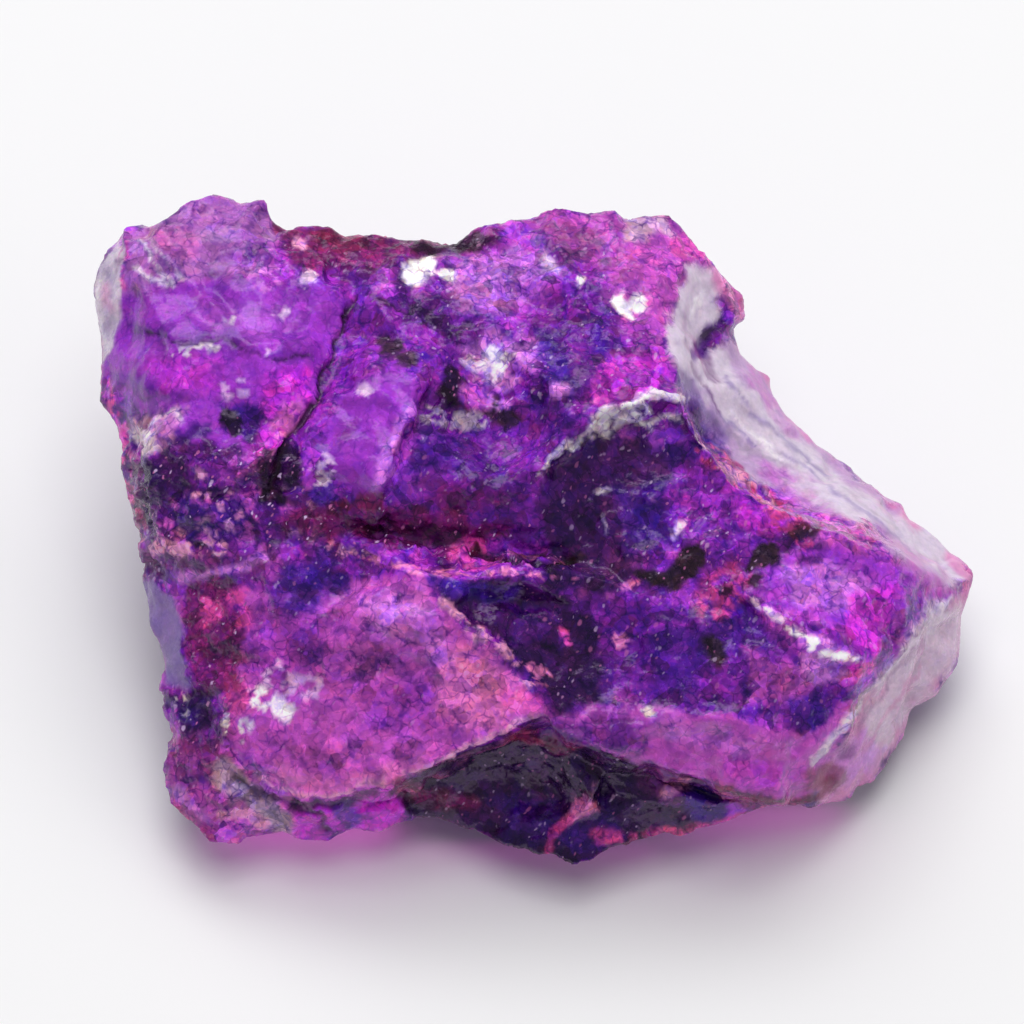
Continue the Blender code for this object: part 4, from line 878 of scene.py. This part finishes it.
def surface():
    """The lump's fine surface: corners in millimetres, faces, and each corner's colour, roughness of gloss
    and of ground, calm, and the glow of its painted glints.

    The CAD's corners are split until their edges are short, and eased a little. Facets, grains, lips and
    cracks then move each corner along its outward direction. The flat spot stays as it is."""
    points, faces = refined(*merged(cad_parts["stone"].data))
    edges, _ = edges_of(faces, len(points))
    flat = points[:, 2] < FLAT_TOP
    soft = eased(points, edges, SURFACE_PASSES)
    points = np.where(flat[:, None], points, soft)
    points[:, 2] = np.maximum(points[:, 2], 0.0)
    out = normals_of(eased(points, edges, OUTWARD_PASSES), faces)
    bulge = ((points - eased(points, edges, MEAN_PASSES)) * out).sum(axis=1)

    drawing = np.stack([(points - DRAWING_ORIGIN) @ axis for axis in (ACROSS, UPWARD, TOWARD)], axis=1)
    facing = eased(out, edges, FACING_PASSES) @ TOWARD
    shown = ease(facing, *SHOWN_FACING)
    hidden = 1.0 - shown
    bent = drawing
    for size, reach, seed in BENDS:
        bent = wander(bent, size, reach, seed)
    spots = bent[:, :2]
    roughened = 2.0 * cloud(points, *EDGE_CLOUD) - 1.0
    _, grain_chances = flakes(wander(points, *GRAIN_BENDS), GRAIN_SIZE, GRAIN_SEED)
    grains = grain_chances[:, 0]

    clouds = {
        "broad": cloud(points, *BROAD_CLOUD), "mid": cloud(wander(points, *MID_BENDS), *MID_CLOUD),
        "wide": cloud(wander(points, *WIDE_BENDS), *WIDE_CLOUD), "dark": cloud(points, *DARK_CLOUD),
    }
    tint = np.empty((len(points), 3))
    tint[:] = linear(COLOURS["violet"])
    for colour, most, name, start, full, far_only in MOTTLING:
        amount = most * ease(clouds[name], start, full)
        tint = laid(tint, colour, amount * hidden if far_only else amount)

    gloss = np.full(len(points), PLAIN_ROUGHNESS)
    calm = np.zeros(len(points))
    glint_glow = np.zeros(len(points))
    height = np.zeros(len(points))
    pale_face = hidden * ease(clouds["wide"], *PALE_WIDE) * ease(clouds["mid"], *PALE_MID)
    calm += PALE_CALM * pale_face
    tint = laid(tint, "frost and sheen", PALE_COVER * pale_face)
    for mark in MARKS:
        mask = mask_of(mark, spots, roughened, grains) * shown
        tint = laid(tint, mark["colour"], mask)
        height += mask * mark["height"]
        if mark["calm"] is not None:
            calm += mask * (mark["calm"] - calm)
        glint_glow += mask * (mark["glint_glow"] - glint_glow)
        if mark["gloss"] is not None:
            gloss += mask * (mark["gloss"] - gloss)

    # Painted glow of light through the thin crystal, pale pink on sharp edges and pink where the surface
    # turns edge-on to the drawing, and painted shade darkening the grooves.
    edge_glow = ease(bulge, *EDGE_GLOW_BULGE) * (grains < EDGE_GLOW_GRAINS)
    edge_glow = edge_glow * ease(cloud(points, *EDGE_GLOW_CLOUD, octaves=2), *EDGE_GLOW_CLOUD_VALUES)
    tint = laid(tint, "blush", EDGE_GLOW_COVER * edge_glow)
    outline_glow = ease(np.abs(facing), *OUTLINE_GLOW_FACING) * ease(roughened, *OUTLINE_GLOW_EDGE_VALUES)
    tint = laid(tint, "pink", OUTLINE_GLOW_COVER * outline_glow)
    crease_shade = ease(bulge, *CREASE_SHADE_BULGE) * (1.0 - calm)
    tint = laid(tint, "night", CREASE_SHADE_COVER * crease_shade)

    # How rough the ground is: by the drawing on the shown side, by a cloud on the far side.
    rough = np.full(len(points), PLAIN_GROUND)
    for outline, amount in ROUGH_GROUND:
        mark = patch("night", outline, soft=ROUGH_SOFT, broken=ROUGH_BROKEN, cover=1.0)
        mask = mask_of(mark, spots, roughened, grains) * shown
        rough = np.maximum(rough, mask * amount)
    rough = np.maximum(rough, hidden * ease(clouds["broad"], *FAR_GROUND_CLOUD) * FAR_GROUND)

    bent_places = wander(points, *RELIEF_BENDS)
    for size, smooth_height, rough_height, seed in RELIEF:
        lift = smooth_height + (rough_height - smooth_height) * rough
        lift = lift * (1.0 - CALM_FLATTENING * calm)
        height += lift * facets(bent_places, size, seed) / size
    height *= ease(points[:, 2], 0.0, RELIEF_FADE)
    points = points + out * height[:, None]
    points[:, 2] = np.maximum(points[:, 2], 0.0)
    points[flat, 2] = 0.0
    return points, faces, tint, gloss, rough * (1.0 - calm), calm, glint_glow


def build_stone(material):
    """The finished stone: one smooth-shaded mesh, with what its material reads at each corner."""
    points, faces, tint, gloss, rough, calm, glint_glow = surface()
    data = bpy.data.meshes.new("violet_stone")
    data.vertices.add(len(points))
    data.vertices.foreach_set("co", (points * MM).astype(np.float32).ravel())
    data.loops.add(faces.size)
    data.loops.foreach_set("vertex_index", faces.astype(np.int32).ravel())
    data.polygons.add(len(faces))
    data.polygons.foreach_set("loop_start", np.arange(0, faces.size, 3, dtype=np.int32))
    data.polygons.foreach_set("use_smooth", np.ones(len(faces), bool))
    data.update(calc_edges=True)
    colours = np.ones((len(points), 4), np.float32)
    colours[:, :3] = tint
    data.attributes.new("tint", "FLOAT_COLOR", "POINT").data.foreach_set("color", colours.ravel())
    for name, values in (("polish", gloss), ("ground", rough), ("calm", calm), ("glint_glow", glint_glow)):
        data.attributes.new(name, "FLOAT", "POINT").data.foreach_set("value", values.astype(np.float32))
    data.materials.append(material)
    stone = bpy.data.objects.new("violet_stone", data)
    bpy.context.scene.collection.objects.link(stone)
    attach(stone, "root")
    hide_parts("stone")


class Wire:
    """A shader socket that takes part in sums: each operator adds its Math node."""

    def __init__(self, tree, socket):
        self.tree = tree
        self.socket = socket

    def node(self, kind, settings=(), output=0, **inputs):
        """Adds a node, sets it up, fills its sockets with values or links, and gives one output's wire."""
        made = self.tree.nodes.new(kind)
        for name, value in dict(settings).items():
            setattr(made, name, value)
        for name, value in inputs.items():
            key = int(name[1:]) if name[1:].isdigit() else name.replace("_", " ")
            if isinstance(value, Wire):
                self.tree.links.new(value.socket, made.inputs[key])
            else:
                made.inputs[key].default_value = value
        return Wire(self.tree, made.outputs[output])

    def other(self, output):
        """Another output of the same node."""
        return Wire(self.tree, self.socket.node.outputs[output])

    def math(self, operation, *values):
        """A Math node of these values or wires."""
        sockets = {f"i{index}": value for index, value in enumerate(values)}
        return self.node("ShaderNodeMath", {"operation": operation}, **sockets)

    def vector(self, operation, *values, output=0):
        """A Vector Math node of these values or wires."""
        sockets = {f"i{index}": value for index, value in enumerate(values)}
        return self.node("ShaderNodeVectorMath", {"operation": operation}, output=output, **sockets)

    def __add__(self, other):
        return self.math("ADD", self, other)

    def __radd__(self, other):
        return self.math("ADD", other, self)

    def __sub__(self, other):
        return self.math("SUBTRACT", self, other)

    def __rsub__(self, other):
        return self.math("SUBTRACT", other, self)

    def __mul__(self, other):
        return self.math("MULTIPLY", self, other)

    def __rmul__(self, other):
        return self.math("MULTIPLY", other, self)

    def eased(self, low, high):
        """From 0 at low to 1 at high, level at both ends."""
        return self.node(
            "ShaderNodeMapRange", {"interpolation_type": "SMOOTHSTEP"},
            Value=self, From_Min=low, From_Max=high,
        )

    def mixed(self, amount, other, blend="MIX"):
        """This colour with another laid over it by amount."""
        made = self.tree.nodes.new("ShaderNodeMix")
        made.data_type = "RGBA"
        made.blend_type = blend
        made.clamp_result = True
        for index, value in ((0, amount), (6, self), (7, other)):
            if isinstance(value, Wire):
                self.tree.links.new(value.socket, made.inputs[index])
            else:
                made.inputs[index].default_value = value
        return Wire(self.tree, made.outputs[2])


def solid(name):
    """A named colour as a shader socket's value."""
    return (*linear(COLOURS[name]), 1.0)


# Clouds of the fine pattern: how many fit in a millimetre, and their detail.
SHIFT_NOISE = (1.3, 2.0)
BROAD_NOISE = (0.9, 3.0)
FINE_NOISE = (3.2, 3.0)
TONE_NOISE = (1.6, 2.0)
BUMP_NOISE = (7.0, 2.0)

# How far the pattern is bent and nudged by the first of them, in millimetres.
BENDING = (0.9, 0.9, 0.9)
NUDGING = (0.4, 0.4, 0.4)
MIDDLE = (0.5, 0.5, 0.5)

# Cracks: how many cells fit in a millimetre, the distance where a border fades out, and the cloud's values
# that break it up. They are weaker where the crystal is calm.
CRACKS = (0.75, 0.13, 0.44, 0.6)
FINE_CRACKS = (1.8, 0.12, 0.4, 0.6)
CRACK_COVER = 0.75
CRACK_LIVELINESS = 1.3
CRACK_TONE = (0.30, 0.22, 0.55, 1.0)

# Cells and grains: how many fit in a millimetre, and how far their lightness varies. The fine cloud adds to
# the least lightness, and adds more where the crystal is lively. Some blue is lost there.
CELLS = ((1.3, 0.85), (3.4, 0.45))
LEAST_LIGHTNESS = 0.80
CALM_GRAIN = 0.4
LIVELY_GRAIN = 0.6
BLUE_LOSS = 0.16

# Shifts of tone: the chance or cloud value where each starts and is full, its cover, and its factor.
BLUER_CELLS = (0.62, 0.9, 0.55, (0.52, 0.48, 1.0, 1.0))
PINKER_CELLS = (0.66, 0.92, 0.5, (1.45, 1.3, 0.95, 1.0))
DUSK = (0.47, 0.34, 0.5, (0.54, 0.5, 1.0, 1.0))
DAWN = (0.56, 0.7, 0.5, (1.35, 1.05, 0.98, 1.0))
LEAST_SHARE = 0.12

# Painted glints, as bright specks: how many places for one fit in a millimetre, the least chance that fills a
# place, and a speck's radius. They are long, slanted and partly pink.
GLINT_SPECKS = ((1.9, 0.68, 0.24), (4.0, 0.72, 0.30))
GLINT_SPECK_CHANCE_SOFT = 0.05
GLINT_SPECK_COVER = 0.8
GLINT_SPECK_PINK = (0.35, 0.6)
GLINT_SPECK_STRETCH = 1.8
GLINT_SPECK_SLANT = math.radians(58.0)

# Chips of the surface: how many fit in a millimetre, then their height and the fine grain's height, each on
# smooth ground and what rough ground adds to it.
CHIP_DENSITY = 2.2
CHIP_HEIGHT = (0.06, 0.22)
BUMP_HEIGHT = (0.012, 0.03)

# What the fine cloud adds to the roughness, and what a painted glint speck takes from it.
FINE_VALUES = (0.45, 0.7)
FINE_ROUGHNESS = 0.14
GLINT_SPECK_GLOSS = 0.08

# The crystal's own values: refractive index, a violet cast of its reflections, how much light goes under its
# surface and how far in millimetres, and how bright its painted glints glow.
CRYSTAL_VALUES = (
    ("IOR", 1.76), ("Specular IOR Level", 0.36), ("Specular Tint", (0.92, 0.72, 1.0, 1.0)),
    ("Subsurface Weight", 0.22), ("Subsurface Scale", MM), ("Subsurface Radius", (0.8, 0.35, 1.0)),
    ("Emission Strength", 0.45),
)


def crystal():
    """Violet crystal: glossy, with light under its surface. Its tint comes from the stone's own attribute,
    and cracks, cells, grains and slanted bright specks, painted glints, are laid over it from Object
    coordinates."""
    material = bpy.data.materials.new("violet_crystal")
    material.use_nodes = True
    tree = material.node_tree
    shader = tree.nodes["Principled BSDF"]
    start = Wire(tree, None)
    metres = start.node("ShaderNodeTexCoord", output=3)
    place = metres.vector("SCALE", metres)
    place.socket.node.inputs[3].default_value = 1.0 / MM

    def own_value(name, output=2):
        """What the stone's surface holds under this name: as a number, or as a colour from output 0."""
        return start.node("ShaderNodeAttribute", {"attribute_name": name}, output=output)

    def noise(where, density, detail, output=0):
        """A cloud, with so many of its lumps to a millimetre: its value, or its colour from output 1."""
        return start.node("ShaderNodeTexNoise", output=output, Vector=where, Scale=density, Detail=detail)

    def cells(where, density, output, feature="F1"):
        """Cells around scattered seeds: the distance to the seed, the cell's own colour, or its place."""
        return start.node(
            "ShaderNodeTexVoronoi", {"feature": feature}, output=output, Vector=where, Scale=density
        )

    def borders(where, density, width, breaking, low, high):
        """1 on the border between two cells, 0 from width off it, and 0 where breaking is below low."""
        return cells(where, density, 0, "DISTANCE_TO_EDGE").eased(width, 0.0) * breaking.eased(low, high)

    def toned(colour, amount, factor):
        """The colour times the factor, laid over the colour itself by amount."""
        return colour.mixed(amount, colour.mixed(1.0, factor, "MULTIPLY"))

    tint = own_value("tint", 0)
    ground = own_value("ground")
    lively = 1.0 - own_value("calm")
    shift = noise(place, *SHIFT_NOISE, output=1)
    shift = shift.vector("SUBTRACT", shift, MIDDLE)
    bent = place.vector("MULTIPLY_ADD", shift, BENDING, place)
    nudged = place.vector("MULTIPLY_ADD", shift, NUDGING, place)
    fine = noise(place, *FINE_NOISE)
    tone = noise(bent, *TONE_NOISE)

    # Cracks: the borders between cells, broken up by a cloud. They are dark blue-violet.
    density, width, low, high = CRACKS
    crack = borders(bent, density, width, noise(place, *BROAD_NOISE), low, high)
    density, width, low, high = FINE_CRACKS
    crack = crack + borders(nudged, density, width, tone, low, high)
    crack = crack * start.math("MINIMUM", lively * CRACK_LIVELINESS, 1.0)
    colour = toned(tint, crack * CRACK_COVER, CRACK_TONE)

    # Cells and grains: lighter and darker ones, bluer and pinker ones.
    lightness = LEAST_LIGHTNESS + fine * (CALM_GRAIN + lively * LIVELY_GRAIN)
    for density, variation in CELLS:
        own = start.node("ShaderNodeSeparateColor", Color=cells(nudged, density, 1))
        lightness = lightness * (1.0 + (own - 0.5) * variation * lively)
        for output, (low, high, cover, factor) in ((1, BLUER_CELLS), (2, PINKER_CELLS)):
            colour = toned(colour, own.other(output).eased(low, high) * cover * lively, factor)
    for low, high, cover, factor in (DUSK, DAWN):
        amount = tone.eased(low, high) * cover * (LEAST_SHARE + lively * (1.0 - LEAST_SHARE))
        colour = toned(colour, amount, factor)
    blue_lightness = lightness * (1.0 - lively * BLUE_LOSS)
    grey = start.node("ShaderNodeCombineColor", Red=lightness, Green=lightness, Blue=blue_lightness)
    colour = colour.mixed(1.0, grey, "MULTIPLY")

    # Painted glints: bright specks, all slanted one way on the drawing.
    slant = Vector(math.cos(GLINT_SPECK_SLANT) * ACROSS + math.sin(GLINT_SPECK_SLANT) * UPWARD)
    outward = Vector(TOWARD)
    turn = Matrix((slant, outward.cross(slant), outward)).transposed().to_euler()
    slanted = start.node(
        "ShaderNodeMapping", {"vector_type": "TEXTURE"}, Vector=nudged, Rotation=turn,
        Scale=(GLINT_SPECK_STRETCH, 1.0, 1.0),
    )
    sparkle = 0.0
    for density, least, radius in GLINT_SPECKS:
        speck = cells(slanted, density, 0)
        own = start.node("ShaderNodeSeparateColor", Color=speck.other(1))
        speck = speck.eased(radius, radius * 0.5) * own.eased(least, least + GLINT_SPECK_CHANCE_SOFT)
        speck = speck * (LEAST_SHARE + ground * (1.0 - LEAST_SHARE)) * lively
        hue = start.node("ShaderNodeRGB")
        hue.socket.default_value = solid("highlight lilac")
        hue = hue.mixed(own.other(1).eased(*GLINT_SPECK_PINK), solid("pink"))
        colour = colour.mixed(speck * GLINT_SPECK_COVER, hue)
        sparkle = sparkle + speck
    tree.links.new(colour.socket, shader.inputs["Base Color"])

    # Chips of the surface: in each cell a plane with its own slope, and a fine grain over it.
    chip = cells(bent, CHIP_DENSITY, 1)
    slope = chip.vector("SUBTRACT", chip, MIDDLE)
    offset = chip.vector("SUBTRACT", bent, chip.other(2))
    plane = offset.vector("DOT_PRODUCT", offset, slope, output=1)
    least, added = CHIP_HEIGHT
    height = plane * (least + ground * added) * lively
    least, added = BUMP_HEIGHT
    height = height + noise(place, *BUMP_NOISE) * (least + ground * added)
    bump = start.node("ShaderNodeBump", Strength=1.0, Distance=MM, Height=height)
    tree.links.new(bump.socket, shader.inputs["Normal"])

    roughness = own_value("polish") + fine.eased(*FINE_VALUES) * FINE_ROUGHNESS - sparkle * GLINT_SPECK_GLOSS
    tree.links.new(roughness.socket, shader.inputs["Roughness"])
    # The painted glints also glow in their own colour, by how much each corner holds: a painted highlight.
    glint = start.node(
        "ShaderNodeMix", {"data_type": "RGBA"}, output=2,
        i0=own_value("glint_glow"), i6=solid("nothing"), i7=colour,
    )
    tree.links.new(glint.socket, shader.inputs["Emission Color"])
    for name, value in CRYSTAL_VALUES:
        shader.inputs[name].default_value = value
    return material


def plain_material(name, colour, roughness):
    """A material of one colour and one roughness."""
    material = bpy.data.materials.new(name)
    material.use_nodes = True
    shader = material.node_tree.nodes["Principled BSDF"]
    shader.inputs["Base Color"].default_value = (*colour, 1.0)
    shader.inputs["Roughness"].default_value = roughness
    return material


FLOOR_HALF = 1.5
FLOOR_COLOUR = (0.90, 0.90, 0.905)
FLOOR_ROUGHNESS = 0.55


def build_floor():
    """A level square, centred under the lump."""
    corners = [(x * FLOOR_HALF, y * FLOOR_HALF, 0.0) for x, y in ((-1, -1), (1, -1), (1, 1), (-1, 1))]
    data = bpy.data.meshes.new("floor")
    data.from_pydata(corners, [], [(0, 1, 2, 3)])
    data.materials.append(plain_material("pale_floor", FLOOR_COLOUR, FLOOR_ROUGHNESS))
    floor = bpy.data.objects.new("floor", data)
    bpy.context.scene.collection.objects.link(floor)


def aim(thing, place, target):
    """Puts a lamp or the camera at a place and points it at the target, with world up as its top."""
    thing.location = place
    thing.rotation_euler = (Vector(target) - Vector(place)).to_track_quat("-Z", "Y").to_euler()


# Soft lamps: place and size in metres, power in watts, colour, and whether they show as reflections.
LAMPS = (
    ("window", (-0.30, 0.62, 0.62), 0.5, 1.2, (1.0, 0.99, 1.0), True),
    ("day", (0.10, 0.45, 0.80), 0.9, 3.8, (1.0, 1.0, 0.99), False),
    ("sky", (0.0, 0.55, 0.85), 0.45, 0.9, (1.0, 1.0, 1.0), True),
    ("fill", (0.0, -0.1, 1.0), 0.7, 3.6, (1.0, 1.0, 1.0), False),
    ("front", (-0.1, -0.8, 0.7), 0.8, 0.2, (1.0, 1.0, 1.0), False),
    ("right", (0.68, -0.28, 0.60), 0.7, 0.7, (1.0, 0.98, 1.0), False),
)
WORLD_COLOUR = (0.97, 0.97, 1.0)
WORLD_STRENGTH = 0.20

# Magenta light that leaves the crystal low at its front and falls on the floor: name, place, size and aim in
# metres, and power in watts.
GLOWS = (
    ("left glow", (-0.0115, -0.0118, 0.0013), (0.009, 0.0016), (-0.0115, -0.0200, -0.0030), 0.000036),
    ("middle glow", (0.0, -0.0130, 0.0012), (0.012, 0.0012), (0.0, -0.0220, -0.0030), 0.000014),
    ("right glow", (0.0105, -0.0108, 0.0015), (0.010, 0.0018), (0.0105, -0.0200, -0.0030), 0.000030),
)
GLOW_COLOUR = (1.0, 0.03, 0.80)


def add_lamp(name, shape, size, power, colour, place, target):
    """An area lamp at a place, pointed at the target. Its size is its width and its height."""
    lamp = bpy.data.lights.new(name, "AREA")
    lamp.shape = shape
    lamp.size, lamp.size_y = size
    lamp.energy = power
    lamp.color = colour
    thing = bpy.data.objects.new(name, lamp)
    bpy.context.scene.collection.objects.link(thing)
    aim(thing, place, target)
    return thing


def light():
    """The soft lamps, the magenta light at the stone's foot, and an even pale light from all around."""
    for name, place, size, power, colour, seen in LAMPS:
        thing = add_lamp(name, "DISK", (size, size), power, colour, place, (0.0, 0.0, 0.0))
        thing.visible_glossy = seen
    for name, place, size, target, power in GLOWS:
        thing = add_lamp(name, "RECTANGLE", size, power, GLOW_COLOUR, place, target)
        thing.visible_camera = False
        thing.visible_glossy = False
    world = bpy.data.worlds.new("studio")
    world.use_nodes = True
    background = world.node_tree.nodes["Background"]
    background.inputs["Color"].default_value = (*WORLD_COLOUR, 1.0)
    background.inputs["Strength"].default_value = WORLD_STRENGTH
    bpy.context.scene.world = world
    bpy.context.scene.view_settings.view_transform = "Standard"


# The camera looks square on to the drawing from far off. The view is 51.2 mm wide at the lump's rim.
VIEW_CENTRE = (-1.4, 0.4, -4.0)
VIEW_WIDTH = 51.2
VIEW_DISTANCE = 900.0
SENSOR = 36.0
NEAREST_SEEN = 0.01
FARTHEST_SEEN = 20.0


def set_camera():
    """The camera, square on to the drawing and nearly without perspective."""
    across, up, toward = VIEW_CENTRE
    target = (DRAWING_ORIGIN + across * ACROSS + up * UPWARD + toward * TOWARD) * MM
    data = bpy.data.cameras.new("camera")
    data.sensor_width = SENSOR
    data.lens = SENSOR * VIEW_DISTANCE / VIEW_WIDTH
    data.clip_start = NEAREST_SEEN
    data.clip_end = FARTHEST_SEEN
    camera = bpy.data.objects.new("camera", data)
    bpy.context.scene.collection.objects.link(camera)
    aim(camera, target + VIEW_DISTANCE * MM * TOWARD, target)
    bpy.context.scene.camera = camera


set_camera()
build_floor()
light()
build_stone(crystal())
